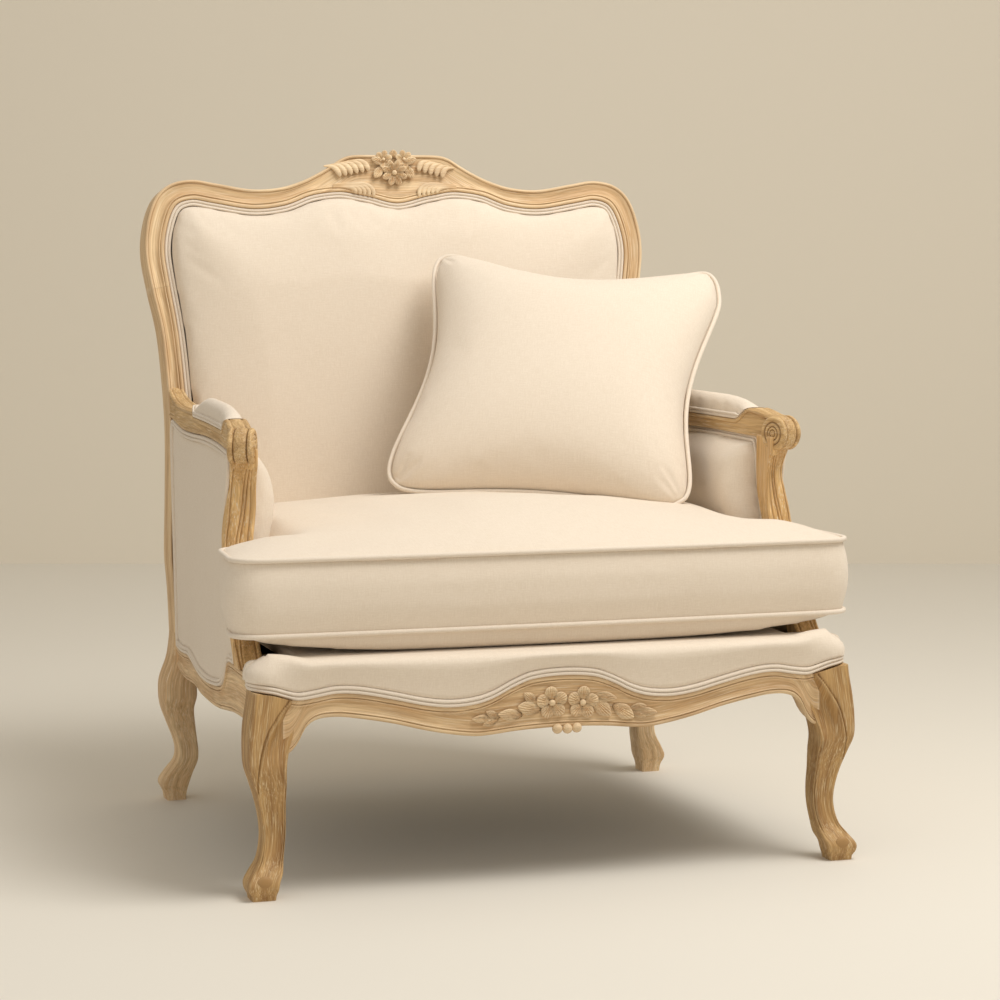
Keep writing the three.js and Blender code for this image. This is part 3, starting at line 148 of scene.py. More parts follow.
def back_moulding(face):
    """Section of the back's timber: distance in from the outer edge, depth behind the face."""
    cove = [
        (0.0074 + (face - 0.017) * share, 0.0029 + 0.0022 * sin(pi * share) ** 0.7)
        for share in np.linspace(0, 1, 10)
    ]
    inner = [
        (0.0091, 0.0019), (0.0085, 0.0012), (0.0078, 0.0011), (0.0071, 0.0017), (0.0065, 0.0028),
        (0.0059, 0.0023), (0.0048, 0.0009), (0.003, 0.0002), (0.0014, 0.0006), (0.0004, 0.0018),
        (0, 0.0032),
    ]
    return [
        (0, 0.045), (0, 0.03), (0, 0.015), (0, 0.0042), (0.0003, 0.0024), (0.001, 0.0009),
        (0.0022, 0.0002), (0.0035, 0.0003), (0.0046, 0.001), (0.0052, 0.002), (0.0057, 0.0031),
        (0.0063, 0.0027),
        *cove,
        *[(face - across, depth) for across, depth in inner],
        (face, 0.012), (face + 0.012, 0.012), (face + 0.012, 0.034), (face, 0.034),
        (face, 0.044), (face - 0.0012, 0.048), (face - 0.005, 0.05), (face * 0.5, 0.05),
        (0.005, 0.05), (0.0012, 0.048),
    ]


def drawn_out(bm, rings, grain=None, closed=False):
    """Draws a ring of points through a row of stations, round to the first where closed. Grain
    gives each point's place in the straight timber: along, across and into it."""
    grain = grain or [[(0, 0, 0)] * len(rings[0])] * len(rings)
    if closed:
        rings, grain = rings + rings[:1], grain + grain[:1]
    layer = bm.verts.layers.float_vector.get("grain")
    if layer is None:
        layer = bm.verts.layers.float_vector.new("grain")
    ring = [bm.verts.new(point) for point in rings[0]]
    edges = [bm.edges.new((ring[place - 1], ring[place])) for place in range(len(ring))]
    first = list(edges)
    for vert, spot in zip(ring, grain[0]):
        vert[layer] = spot
    for points, spots in zip(rings[1:], grain[1:]):
        made = bmesh.ops.extrude_edge_only(bm, edges=edges)["geom"]
        fresh = {item for item in made if isinstance(item, bmesh.types.BMVert)}
        ring = [
            next(far for far in (edge.other_vert(vert) for edge in vert.link_edges) if far in fresh)
            for vert in ring
        ]
        for vert, point, spot in zip(ring, points, spots):
            vert.co = point
            vert[layer] = spot
        edges = [bm.edges.get((ring[place - 1], ring[place])) for place in range(len(ring))]
    if not closed:
        for rim in (first, edges):
            bmesh.ops.contextual_create(bm, geom=rim)


def shape_of(name, bm):
    """Turns a bmesh into an object in the scene."""
    mesh = bpy.data.meshes.new(name)
    bm.to_mesh(mesh)
    bm.free()
    return linked(name, mesh)


def set_on(name, bm, finish, stands_for=(), body="frame", crisp=38, mirrored=False):
    """Turns a finished bmesh into a piece in its place on the chair. Edges turned by more than
    crisp degrees stay sharp."""
    bmesh.ops.remove_doubles(bm, verts=bm.verts, dist=1e-6)
    if mirrored:
        bmesh.ops.scale(bm, vec=(-1, 1, 1), verts=bm.verts)
    bmesh.ops.recalc_face_normals(bm, faces=bm.faces)
    bmesh.ops.translate(bm, verts=bm.verts, vec=(0, drawing_shift, 0))
    piece = shape_of(name, bm)
    mesh = piece.data
    mesh.shade_smooth()
    mesh.set_sharp_from_angle(angle=radians(crisp))
    mesh.materials.append(finish)
    mark_hollows(mesh)
    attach(piece, body)
    if stands_for:
        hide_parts(*stands_for)
    return piece


def mark_hollows(mesh):
    """Notes how hollow or proud each point is: glaze and painted shade, wax, wear and highlight."""
    count = len(mesh.vertices)
    points, normals = np.zeros((count, 3)), np.zeros((count, 3))
    mesh.vertices.foreach_get("co", points.ravel())
    mesh.vertices.foreach_get("normal", normals.ravel())
    ends = np.zeros(len(mesh.edges) * 2, np.int64)
    mesh.edges.foreach_get("vertices", ends)
    start, stop = ends.reshape(-1, 2).T
    way = points[stop] - points[start]
    length = np.linalg.norm(way, axis=1) + 1e-9
    near = np.exp(-length / 0.004)
    total, weight = np.zeros(count), np.full(count, 1e-6)
    np.add.at(total, start, near * np.einsum("ij,ij->i", way, normals[start]) / length)
    np.add.at(total, stop, -near * np.einsum("ij,ij->i", way, normals[stop]) / length)
    np.add.at(weight, start, near)
    np.add.at(weight, stop, near)
    hollow = total / weight
    soft, weight = hollow.copy() * 2, np.full(count, 2.0)
    np.add.at(soft, start, near * hollow[stop])
    np.add.at(soft, stop, near * hollow[start])
    np.add.at(weight, start, near)
    np.add.at(weight, stop, near)
    layer = mesh.attributes.new("hollow", "FLOAT", "POINT")
    layer.data.foreach_set("value", (soft / weight).astype(np.float32))


def put(tree, kind, choices=None, inputs=None):
    """Adds a shader node, sets its choices, and fills or links its inputs."""
    node = tree.nodes.new("ShaderNode" + kind)
    for key, value in (choices or {}).items():
        setattr(node, key, value)
    for key, value in (inputs or {}).items():
        if isinstance(value, bpy.types.NodeSocket):
            tree.links.new(value, node.inputs[key])
        else:
            node.inputs[key].default_value = value
    return node


def effect(name, inputs, outputs):
    """An empty node group with named inputs and outputs."""
    group = bpy.data.node_groups.new(name, "ShaderNodeTree")
    for kind, names in (("INPUT", inputs), ("OUTPUT", outputs)):
        for label, socket in names.items():
            group.interface.new_socket(name=label, in_out=kind, socket_type="NodeSocket" + socket)
    given, result = group.nodes.new("NodeGroupInput"), group.nodes.new("NodeGroupOutput")
    return group, given.outputs, result.inputs


def spread(tree, value, low, high, start=0.0, stop=1.0):
    """Stretches a value from one range onto another, held at both ends."""
    inputs = {0: value, 1: low, 2: high, 3: start, 4: stop}
    return put(tree, "MapRange", {"clamp": True}, inputs).outputs[0]


def blended(tree, share, first, second, way="MIX"):
    inputs = {0: share, 6: first, 7: second}
    return put(tree, "Mix", {"data_type": "RGBA", "blend_type": way}, inputs).outputs[2]


def maths(tree, way, *values):
    return put(tree, "Math", {"operation": way}, dict(enumerate(values))).outputs[0]


def noise(tree, place, scale, detail=3.0):
    return put(tree, "TexNoise", {}, {"Vector": place, "Scale": scale, "Detail": detail}).outputs[0]


def roughened(tree, surface, height, strength, depth):
    """Bumps a surface by a height, in metres of depth."""
    inputs = {"Height": height, "Strength": strength, "Distance": depth}
    tree.links.new(put(tree, "Bump", {}, inputs).outputs[0], surface.inputs["Normal"])


def new_finish(name):
    """A material, with its node tree and shader."""
    finish = bpy.data.materials.new(name)
    finish.use_nodes = True
    return finish, finish.node_tree, finish.node_tree.nodes["Principled BSDF"]


def stretched_noise(tree, spot, scale, detail=3.0, twist=0.0):
    """Noise drawn out along the grain: scale is how often it changes along, across and in."""
    long = put(tree, "VectorMath", {"operation": "MULTIPLY"}, {0: spot, 1: scale}).outputs[0]
    inputs = {"Vector": long, "Scale": 1.0, "Detail": detail, "Roughness": 0.6, "Distortion": twist}
    return put(tree, "TexNoise", {}, inputs).outputs[0]


limed, given, result = effect(
    "limed_grain",
    {"Grain": "Vector", "Hollow": "Float", "Light": "Color", "Dark": "Color", "WaxAndHighlight": "Color",
     "GlazeAndShade": "Color"},
    {"Color": "Color", "Roughness": "Float", "Height": "Float"},
)
figure = stretched_noise(limed, given["Grain"], (5, 70, 70), 4, 0.6)
fibres = stretched_noise(limed, given["Grain"], (16, 420, 420), 3)
pores = stretched_noise(limed, given["Grain"], (22, 800, 800), 2)
patches = stretched_noise(limed, given["Grain"], (11, 26, 26), 3)
wood = blended(limed, spread(limed, figure, 0.36, 0.64), given["Dark"], given["Light"])
fibre_tone = put(limed, "ValToRGB", {}, {0: fibres})
fibre_tone.color_ramp.elements[0].position = 0.3
fibre_tone.color_ramp.elements[0].color = (0.6, 0.53, 0.44, 1)
fibre_tone.color_ramp.elements[1].position = 0.7
fibre_tone.color_ramp.elements[1].color = (1.12, 1.12, 1.1, 1)
wood = blended(limed, 0.75, wood, fibre_tone.outputs[0], "MULTIPLY")
waxed = maths(limed, "MULTIPLY", spread(limed, pores, 0.54, 0.68),
              spread(limed, patches, 0.35, 0.62, 0.15, 0.85))
wood = blended(limed, waxed, wood, given["WaxAndHighlight"])
# Painted shade: hollows take the dark glaze colour. This is partly real glaze left in recesses and
# partly painted shade in grooves and creases.
glaze_and_shade = maths(limed, "MULTIPLY", spread(limed, given["Hollow"], 0.04, 0.4),
             spread(limed, patches, 0.3, 0.6, 0.55, 0.95))
wood = blended(limed, glaze_and_shade, wood, given["GlazeAndShade"])
# Painted highlight: proud ridges turn towards the wax colour. This is partly real rubbed wear and
# partly painted highlight.
wear_and_highlight = spread(limed, given["Hollow"], -0.05, -0.4, 0.0, 0.4)
wood = blended(limed, wear_and_highlight, wood, given["WaxAndHighlight"])
limed.links.new(wood, result["Color"])
limed.links.new(spread(limed, fibres, 0.3, 0.7, 0.62, 0.5), result["Roughness"])
relief = maths(limed, "ADD", spread(limed, pores, 0.5, 0.7, 1.0, 0.0),
               spread(limed, fibres, 0.3, 0.7, 0.0, 0.6))
limed.links.new(relief, result["Height"])


def oak(name, light, dark, wax_and_highlight=(0.84, 0.7, 0.5, 1), straight=False):
    """Limed oak. The grain follows the piece's own timber, or its object's axes if straight."""
    finish, tree, surface = new_finish(name)
    grain = put(tree, "Attribute", {"attribute_name": "grain"}).outputs["Vector"]
    hollow = put(tree, "Attribute", {"attribute_name": "hollow"}).outputs["Fac"]
    if straight:
        grain, hollow = put(tree, "TexCoord").outputs["Object"], 0.0
    look = put(tree, "Group", {"node_tree": limed}, {
        "Grain": grain, "Hollow": hollow, "Light": light, "Dark": dark, "WaxAndHighlight": wax_and_highlight,
        # The dark glaze colour, which also paints the shade in hollows.
        "GlazeAndShade": (0.22, 0.115, 0.045, 1),
    }).outputs
    tree.links.new(look["Color"], surface.inputs["Base Color"])
    tree.links.new(look["Roughness"], surface.inputs["Roughness"])
    roughened(tree, surface, look["Height"], 0.35, 0.0006)
    surface.inputs["Specular IOR Level"].default_value = 0.35
    return finish


show_oak = oak("limed_oak", (0.83, 0.62, 0.37, 1), (0.62, 0.4, 0.205, 1))


def back_length(start, stop, fine=0.125):
    """Rings and grain of the back's timber from one station to another."""
    rings, grain, along, last = [], [], 0.0, None
    for step in np.arange(start, stop + fine / 2, fine):
        section = back_moulding(face_at(step))
        middle = back_edge(step, 0.015)
        along += (middle - last).length if last else 0
        last = middle
        spots = [(back_edge(step, across), depth) for across, depth in section]
        rings.append([leaning(spot.x, depth, spot.y) for spot, depth in spots])
        grain.append([(along, across, depth) for across, depth in section])
    return rings, grain


crest = bmesh.new()
drawn_out(crest, *back_length(-shoulder, shoulder))
# The crest's oak is a paler copy of the limed oak: painted light on the brightly lit crest.
lit_crest_oak = oak("lit_crest_oak", (0.88, 0.675, 0.42, 1), (0.665, 0.445, 0.24, 1))
set_on("crest_rail_moulded", crest, lit_crest_oak, ["crest_rail"])

# Carving on the crest. A cluster of blossoms sits at the middle, with a spray of curled leaves
# above and below it on each side, cut in low relief.


def on_crest(x, rise, proud):
    return leaning(x, 0.0012 - proud, rise)


def carved(bm, vert, place, x, rise, proud):
    vert.co = place(x, rise, proud)
    vert[bm.verts.layers.float_vector["grain"]] = (x, rise, -proud)


def petal(bm, place, root, turn, long, wide, proud, lift=14, veins=5, dish=0.3, tip=0.0):
    """One carved petal or leaf, lying outwards from its root: a raised rim, and veins that spread
    from the root through its hollow."""
    made = bmesh.ops.create_uvsphere(bm, u_segments=60, v_segments=16, radius=1)["verts"]
    for vert in made:
        across, along, up = vert.co.x, vert.co.z, vert.co.y
        out = min(across * across + along * along, 1)
        if up > 0:
            inside = (1 - out) ** 0.5
            vein = cos(veins * 2 * pi * across / (1.25 + along))
            up = (1 - out * out) ** 0.5 - dish * inside + 0.25 * vein * inside**0.6
        narrow = 1 - 0.28 * max(-along, 0) - tip * max(along, 0) ** 2
        spot = Vector((along * long / 2 + long * 0.46, across * wide / 2 * narrow, up * proud))
        spot = Matrix.Rotation(radians(-lift), 3, "Y") @ spot
        spot = Matrix.Rotation(turn, 3, "Z") @ spot
        carved(bm, vert, place, root[0] + spot.x, root[1] + spot.y, spot.z)


def blossom(bm, place, middle, radius, turn, petals=5, lift=9):
    for count in range(petals):
        angle = turn + count * 2 * pi / petals
        root = (middle[0] + radius * 0.18 * cos(angle), middle[1] + radius * 0.18 * sin(angle))
        petal(bm, place, root, angle, radius * 0.86, radius * 4.1 / petals, radius * 0.15, lift)
    berry(bm, place, middle, radius * 0.2, radius * 0.1)


def berry(bm, place, middle, radius, out=0.0):
    made = bmesh.ops.create_uvsphere(bm, u_segments=18, v_segments=10, radius=radius)["verts"]
    for vert in made:
        x, rise, proud = vert.co
        carved(bm, vert, place, middle[0] + x, middle[1] + rise, proud + out)


def curl(bm, place, root, bend, tip, wide, proud):
    """One finger of a carved spray: a rounded rib that curls over and ends in a soft tip."""
    root, bend, tip = Vector(root), Vector(bend), Vector(tip)
    rings, grain = [], []
    for share in np.linspace(0, 1, 16):
        spot = root * (1 - share) ** 2 + bend * 2 * share * (1 - share) + tip * share**2
        way = ((bend - root) * (1 - share) + (tip - bend) * share).normalized()
        rounded = np.sqrt(max(1 - max((share - 0.72) / 0.28, 0) ** 2, 0))
        girth = max(min(0.3 + share * 1.2, 1) * rounded, 0.04)
        half = wide / 2 * girth
        ring = [
            (spot.x - way.y * half * cos(turn), spot.y + way.x * half * cos(turn),
             proud * girth * sin(turn) + proud * 0.5 * share)
            for turn in np.linspace(0, 2 * pi, 14, endpoint=False)
        ]
        rings.append([place(*point) for point in ring])
        grain.append([(x, rise, -height) for x, rise, height in ring])
    drawn_out(bm, rings, grain)


def deepen(piece):
    """More glaze and painted shade at a carving's foot, wax and painted highlight on its top."""
    mesh = piece.data
    count = len(mesh.vertices)
    depth, hollow = np.zeros(count * 3), np.zeros(count)
    mesh.attributes["grain"].data.foreach_get("vector", depth)
    mesh.attributes["hollow"].data.foreach_get("value", hollow)
    hollow = hollow * 1.5 + np.clip((depth[2::3] + 0.0018) / 0.0016, -0.3, 1) * 0.5
    mesh.attributes["hollow"].data.foreach_set("value", hollow.astype(np.float32))


carving = bmesh.new()
carving.verts.layers.float_vector.new("grain")
for root, turn, long, wide in (
    ((0.017, 1.008), -1.15, 0.024, 0.015), ((-0.024, 1.006), 4.05, 0.024, 0.015),
    ((0.012, 1.012), 0.35, 0.024, 0.013), ((-0.02, 1.012), 2.8, 0.024, 0.013),
    ((-0.004, 1.022), 1.55, 0.013, 0.013),
):
    petal(carving, on_crest, root, turn, long, wide, 0.0034, 8, 4, 0.25, 0.3)
blossom(carving, on_crest, (-0.004, 0.9965), 0.0225, 1.2, 8, 11)
for middle, turn in (((-0.021, 1.0185), 0.3), ((0.0135, 1.019), 0.75)):
    blossom(carving, on_crest, middle, 0.0152, turn, 6, 13)
for place in range(6):
    x, rise = -0.0475 - 0.0096 * place, 1.002 - 0.0019 * place
    curl(carving, on_crest, (x - 0.025, rise + 0.0145), (x - 0.003, rise + 0.0172),
         (x + 0.001, rise - 0.0035), 0.0098, 0.0031)
    x, rise = 0.0375 + 0.0098 * place, 1.0015 - 0.0026 * place
    if place < 5:
        curl(carving, on_crest, (x + 0.022, rise + 0.0135), (x + 0.001, rise + 0.0172),
             (x, rise - 0.0035), 0.0098, 0.0031)
for place in range(5):
    x = -0.0405 - 0.0077 * place
    curl(carving, on_crest, (-0.107, 0.9765 - 0.001 * place), (x + 0.007, 0.989 - 0.0032 * place),
         (x, 0.9555 + 0.0016 * place), 0.0082, 0.003)
    x = 0.037 + 0.0077 * place
    curl(carving, on_crest, (0.1, 0.9755 - 0.001 * place), (x - 0.007, 0.988 - 0.0032 * place),
         (x, 0.9555 + 0.0018 * place), 0.0082, 0.003)
deepen(set_on("crest_carving", carving, lit_crest_oak))

# Each rear post goes down into a square cabriole leg, chamfered and rubbed smooth.
rear_foot = (0.397, 0.27)
# Rise, foot to the leg's line outwards and lengthways, width.
rear_leg_line = [
    (0, 0, 0, 0.03), (0.0119, 0.0006, 0.0006, 0.033), (0.0259, 0.0019, 0.0019, 0.0421),
    (0.044, -0.0048, -0.0048, 0.039), (0.064, -0.0142, -0.0142, 0.0335),
    (0.0791, -0.016, -0.016, 0.032), (0.095, -0.0142, -0.0142, 0.033),
    (0.125, -0.0078, -0.0078, 0.04), (0.1469, -0.004, -0.004, 0.046),
    (0.1661, -0.005, -0.0045, 0.052), (0.1901, -0.0064, -0.0016, 0.051),
    (0.2219, -0.0184, 0.0096, 0.0478), (0.25, -0.021, 0.013, 0.0432),
    (0.27, -0.022, 0.0145, 0.0416),
]


def soft_square(half_x, half_y, round_share, count=6):
    """A square with rounded corners, as (out, along) pairs."""
    radius = min(half_x, half_y) * round_share
    corners = [(1, -1, -pi / 2), (1, 1, 0), (-1, 1, pi / 2), (-1, -1, pi)]
    return [
        (sx * (half_x - radius) + radius * cos(turn + share * pi / 2),
         sy * (half_y - radius) + radius * sin(turn + share * pi / 2))
        for sx, sy, turn in corners for share in np.linspace(0, 1, count)
    ]


def cabriole(bm, line, foot, side_y, depth_share, round_share, count=60):
    rings, grain = [], []
    for rise in np.linspace(line[0][0], line[-1][0], count):
        out, back, width = between(line, rise)
        section = soft_square(width / 2, width / 2 * depth_share, round_share)
        rings.append([
            Vector((foot[0] + out + dx, foot[1] * side_y + side_y * back + dy, rise))
            for dx, dy in section
        ])
        grain.append([(rise, dx, dy) for dx, dy in section])
    drawn_out(bm, rings, grain)


for side, flip in both_sides:
    post = bmesh.new()
    drawn_out(post, *back_length(shoulder + 0.004, stile_end))
    cabriole(post, rear_leg_line, rear_foot, 1, 1.18, 0.22)
    set_on(f"{side}_rear_post_moulded", post, show_oak, [f"{side}_rear_post"],
           mirrored=flip)

# Seat rails. The front apron is a serpentine oak board with a roll along its lower edge, a cove
# and a bead under the cloth. It is tenoned into the front legs.
rail_half, rail_top = 0.383, 0.3
apron_face = 0.448
# Out from the middle, lower edge, upper edge.
apron_line = [
    (0, 0.2151, 0.2871), (0.045, 0.2139, 0.2835), (0.072, 0.2121, 0.2739), (0.1, 0.2091, 0.2601),
    (0.1249, 0.2079, 0.2526), (0.1601, 0.2124, 0.2499), (0.1961, 0.2196, 0.2541),
    (0.2371, 0.2301, 0.2634), (0.285, 0.2391, 0.273), (0.3179, 0.243, 0.2751),
    (0.3447, 0.24, 0.2709), (0.36, 0.2289, 0.2685), (0.3711, 0.2079, 0.2679),
    (0.383, 0.1959, 0.2705), (0.406, 0.1959, 0.2775), (0.4328, 0.1959, 0.2815),
]
apron_end = apron_line[-1][0]
apron_rows = [(-x, low, high) for x, low, high in apron_line[3:0:-1]] + apron_line


def apron_at(x):
    return between(apron_rows, abs(x))


def apron_face_at(x):
    share = min(abs(x) / rail_half, 1)
    return -(apron_face + 0.017 * cos(share * pi / 2))


def rail_moulding(low, high):
    """Face of a seat rail, up from its lower edge: depth behind the face, height."""
    span = high - low
    cove = [
        (0.0022 + 0.0018 * sin(pi * share), low + 0.0098 + (span - 0.0188) * share)
        for share in np.linspace(0, 1, 8)
    ]
    return [
        (0.0085, low), (0.006, low + 0.0003), (0.0034, low + 0.0012), (0.0016, low + 0.0028),
        (0.001, low + 0.0044), (0.0016, low + 0.0058), (0.003, low + 0.0066),
        (0.0014, low + 0.0074), (0.0008, low + 0.0084), (0.0014, low + 0.0092), *cove,
        (0.0016, high - 0.0084), (0.0008, high - 0.0076), (0.0014, high - 0.0066),
        (0.003, high - 0.006), (0.0014, high - 0.0052), (0.0006, high - 0.0036),
        (0.0008, high - 0.0016), (0.0022, high),
    ]


apron = bmesh.new()
rings, grain = [], []
for x in np.linspace(-0.3905, 0.3905, 181):
    low, high = apron_at(x)
    face = apron_face_at(x)
    section = rail_moulding(low, high)
    section += [(0.009, high), (0.009, rail_top)]
    section += [(-face - 0.414, rail_top), (-face - 0.414, low + 0.006)]
    rings.append([Vector((x, face + depth, rise)) for depth, rise in section])
    grain.append([(x, rise - low, depth) for depth, rise in section])
drawn_out(apron, rings, grain)
set_on("front_apron_moulded", apron, show_oak, ["front_apron_rail"])

# The apron is carved too: two blossoms side by side, leaves running out to left and right, and
# three berries under the lower edge.


def on_apron(x, rise, proud):
    return Vector((x, apron_face_at(x) + 0.003 - proud, rise))


spray = bmesh.new()
spray.verts.layers.float_vector.new("grain")
for root, turn, long, wide in (
    ((-0.034, 0.241), 2.95, 0.034, 0.021), ((-0.038, 0.25), 2.45, 0.026, 0.014),
    ((-0.06, 0.2345), 3.05, 0.036, 0.017), ((-0.092, 0.233), 2.7, 0.022, 0.011),
    ((-0.094, 0.2305), 3.45, 0.024, 0.011), ((-0.102, 0.2315), 3.1, 0.03, 0.012),
    ((0.044, 0.251), -0.75, 0.036, 0.021), ((0.046, 0.258), -0.2, 0.034, 0.014),
    ((0.074, 0.2415), -0.55, 0.036, 0.021), ((0.098, 0.2355), 0.15, 0.026, 0.012),
    ((0.1, 0.2315), -0.35, 0.024, 0.011), ((0.106, 0.232), -0.1, 0.034, 0.013),
):
    petal(spray, on_apron, root, turn, long, wide, 0.0033, 5, 5, 0.3, 0.45)
blossom(spray, on_apron, (-0.0164, 0.25), 0.0232, 0.42)
blossom(spray, on_apron, (0.0281, 0.2482), 0.0232, 1.46)
for x, rise in ((-0.0085, 0.2135), (0.006, 0.213), (0.0195, 0.2138)):
    berry(spray, on_apron, (x, rise), 0.0072, 0.001)
deepen(set_on("apron_carving", spray, show_oak))

# The side rails dip behind the front leg and end under the stile, with the same roll and bead.
side_front, side_rear = 0.404, 0.262
# Back from the front leg, out, lower edge, upper edge.
side_line = [
    (0, 0.433, 0.2325, 0.2997), (0.032, 0.4326, 0.234, 0.2997), (0.1039, 0.4311, 0.231, 0.2997),
    (0.1339, 0.4303, 0.2274, 0.2955), (0.1479, 0.4298, 0.2259, 0.276),
    (0.1678, 0.4292, 0.2235, 0.261), (0.2018, 0.4277, 0.2196, 0.252),
    (0.2458, 0.4254, 0.216, 0.2469), (0.289, 0.4235, 0.2145, 0.2439),
    (0.3643, 0.4193, 0.2136, 0.2439), (0.4342, 0.4144, 0.216, 0.2499),
    (0.4842, 0.411, 0.213, 0.2541), (0.5501, 0.4053, 0.2079, 0.2481),
    (0.6041, 0.4003, 0.207, 0.2439), (0.666, 0.395, 0.21, 0.243),
]
side_length = side_line[-1][0]


def side_at(y):
    return between(side_line, min(max(y + side_front, 0), side_length))


for side, flip in both_sides:
    rail = bmesh.new()
    rings, grain = [], []
    for y in np.linspace(-side_front - 0.009, side_rear + 0.012, 110):
        out, low, high = side_at(y)
        section = rail_moulding(low, high)
        section += [(0.0092, high), (0.0092, 0.2999), (0.034, 0.2999), (0.034, low + 0.006)]
        rings.append([Vector((out - depth, y, rise)) for depth, rise in section])
        grain.append([(y, rise - low, depth) for depth, rise in section])
    drawn_out(rail, rings, grain)
    set_on(f"{side}_side_rail_moulded", rail, show_oak, [f"{side}_side_rail"],
           mirrored=flip)

# Front legs. Square cabriole legs in oak, finished in a darker, browner copy of the oak with darker
# wax: painted shade on the legs. The apron's two beads run on down the front of each leg, past a
# plain knee, and end at a button over the block foot.
shaded_honey_oak = oak("shaded_honey_oak", (0.58, 0.37, 0.155, 1), (0.36, 0.2, 0.075, 1), (0.78, 0.62, 0.38, 1))
front_foot = (0.421, 0.442)
front_leg_top, front_leg_rounding = 0.283, 0.16
front_leg_line = [
    (0, 0, 0, 0.0329), (0.0062, 0, 0, 0.0346), (0.0142, 0.001, 0.001, 0.041),
    (0.0241, 0, 0, 0.0432), (0.0359, -0.007, -0.007, 0.0405), (0.052, -0.0141, -0.0141, 0.0329),
    (0.078, -0.019, -0.019, 0.031), (0.1021, -0.019, -0.019, 0.0329),
    (0.1289, -0.0158, -0.0158, 0.037), (0.156, -0.0114, -0.0114, 0.0448),
    (0.179, -0.0067, -0.0076, 0.05), (0.2069, -0.0068, -0.0095, 0.0521),
    (0.2348, -0.0099, -0.0124, 0.054), (0.268, -0.0148, -0.0137, 0.0529),
    (0.283, -0.016, -0.0137, 0.0524),
]
# Rise, then where the inner and outer bead lie across the leg's front, from -1 inside to 1.
leg_beads = [
    (0, -0.7, 0.7), (0.035, -0.7, 0.7), (0.06, -0.74, 0.76), (0.14, -0.8, 0.78),
    (0.18, -0.88, 0.36), (0.222, -1.1, 0.0), (0.25, -1.5, -0.46), (0.268, -2, -0.95),
    (0.283, -2, -1.2),
]

# How much wider the leg's inner side is, where it turns into the apron.
leg_wing = [
    (0, 0), (0.15, 0), (0.175, 0.001), (0.1915, 0.003), (0.21, 0.0065), (0.225, 0.0095),
    (0.24, 0.005), (0.26, 0), (0.283, 0),
]


def front_relief(across, rise, step_back):
    """How far the leg's front face is sunk at a place across it: a channel between two beads,
    which falls back to the apron's face at the top."""
    inner, outer = between(leg_beads, rise)
    fade = min(max((rise - 0.03) / 0.02, 0), 1)
    depth = 0.0
    if inner < across < outer:
        middle = (across - inner) / max(outer - inner, 0.01)
        depth = 0.0026 * sin(pi * middle) ** 0.5
    for line, groove in ((inner, -0.12), (outer, 0.12)):
        depth -= 0.0014 * np.exp(-(((across - line) / 0.07) ** 2))
        depth += 0.0024 * np.exp(-(((across - line - groove) / 0.05) ** 2))
    fall = min(max((outer - 0.06 - across) / 0.3, 0), 1) * min(max((rise - 0.16) / 0.07, 0), 1)
    return depth * fade + step_back * fall * fall * (3 - 2 * fall)


for side, flip in both_sides:
    leg = bmesh.new()
    rings, grain = [], []
    for rise in np.linspace(0, front_leg_top, 96):
        out, back, width = between(front_leg_line, rise)
        half = width / 2
        corner = half * front_leg_rounding
        wing = between(leg_wing, rise)[0] / half
        face = -front_foot[1] - back - half
        front = [(share * (half - corner), -half) for share in np.linspace(-1, 1, 45)]
        section = front + soft_square(half, half, front_leg_rounding)[1:24]
        ring = []
        for dx, dy in section:
            x = front_foot[0] + out + dx * (1 + (wing if dx < 0 else 0))
            at_front = dy <= -half + 1e-6
            glaze_and_shade = 0
            if dx < 0 or at_front:
                glaze_and_shade = front_relief(dx / half, rise, apron_face_at(x) + 0.002 - face)
            if not at_front:
                glaze_and_shade = max(glaze_and_shade - half - dy, 0) if dx < 0 else 0
            under_cloth = apron_at(min(x, apron_end))[1] - 0.0004
            ring.append(Vector((x, face + half + dy + glaze_and_shade, min(rise, under_cloth))))
        rings.append(ring)
        grain.append([(rise, dx, dy) for dx, dy in section])
    drawn_out(leg, rings, grain)
    head = [(rail_half, -0.439), (0.406, -0.439)]
    head += [(0.406 + 0.018 * sin(turn), -0.421 - 0.018 * cos(turn))
             for turn in np.linspace(0, pi / 2, 8)]
    head += [(0.424, -0.4), (rail_half, -0.4)]
    heights = (0.262, 0.281, rail_top)
    rings = [[Vector((x, y, rise)) for x, y in head] for rise in heights]
    grain = [[(rise, x, y) for x, y in head] for rise in heights]
    drawn_out(leg, rings, grain)
    button = bmesh.ops.create_uvsphere(leg, u_segments=28, v_segments=14, radius=0.0105)["verts"]
    bmesh.ops.scale(leg, vec=(1, 0.42, 0.85), verts=button)
    bmesh.ops.translate(leg, vec=(front_foot[0], -front_foot[1] - 0.0195, 0.0255), verts=button)
    set_on(f"{side}_front_leg_carved", leg, shaded_honey_oak, [f"{side}_front_leg"],
           mirrored=flip)

# Arms. Oak, swept up to the stile at the rear, hollowed along both sides, with a flat bed for
# the pad, and a drum-shaped scroll of three reeds at the front.
arm_oak = oak("arm_oak", (0.74, 0.52, 0.26, 1), (0.5, 0.31, 0.13, 1))
support_oak = oak("support_oak", (0.88, 0.6, 0.28, 1), (0.6, 0.36, 0.14, 1))
arm_rear, arm_front, arm_height = 0.336, 0.265, 0.629
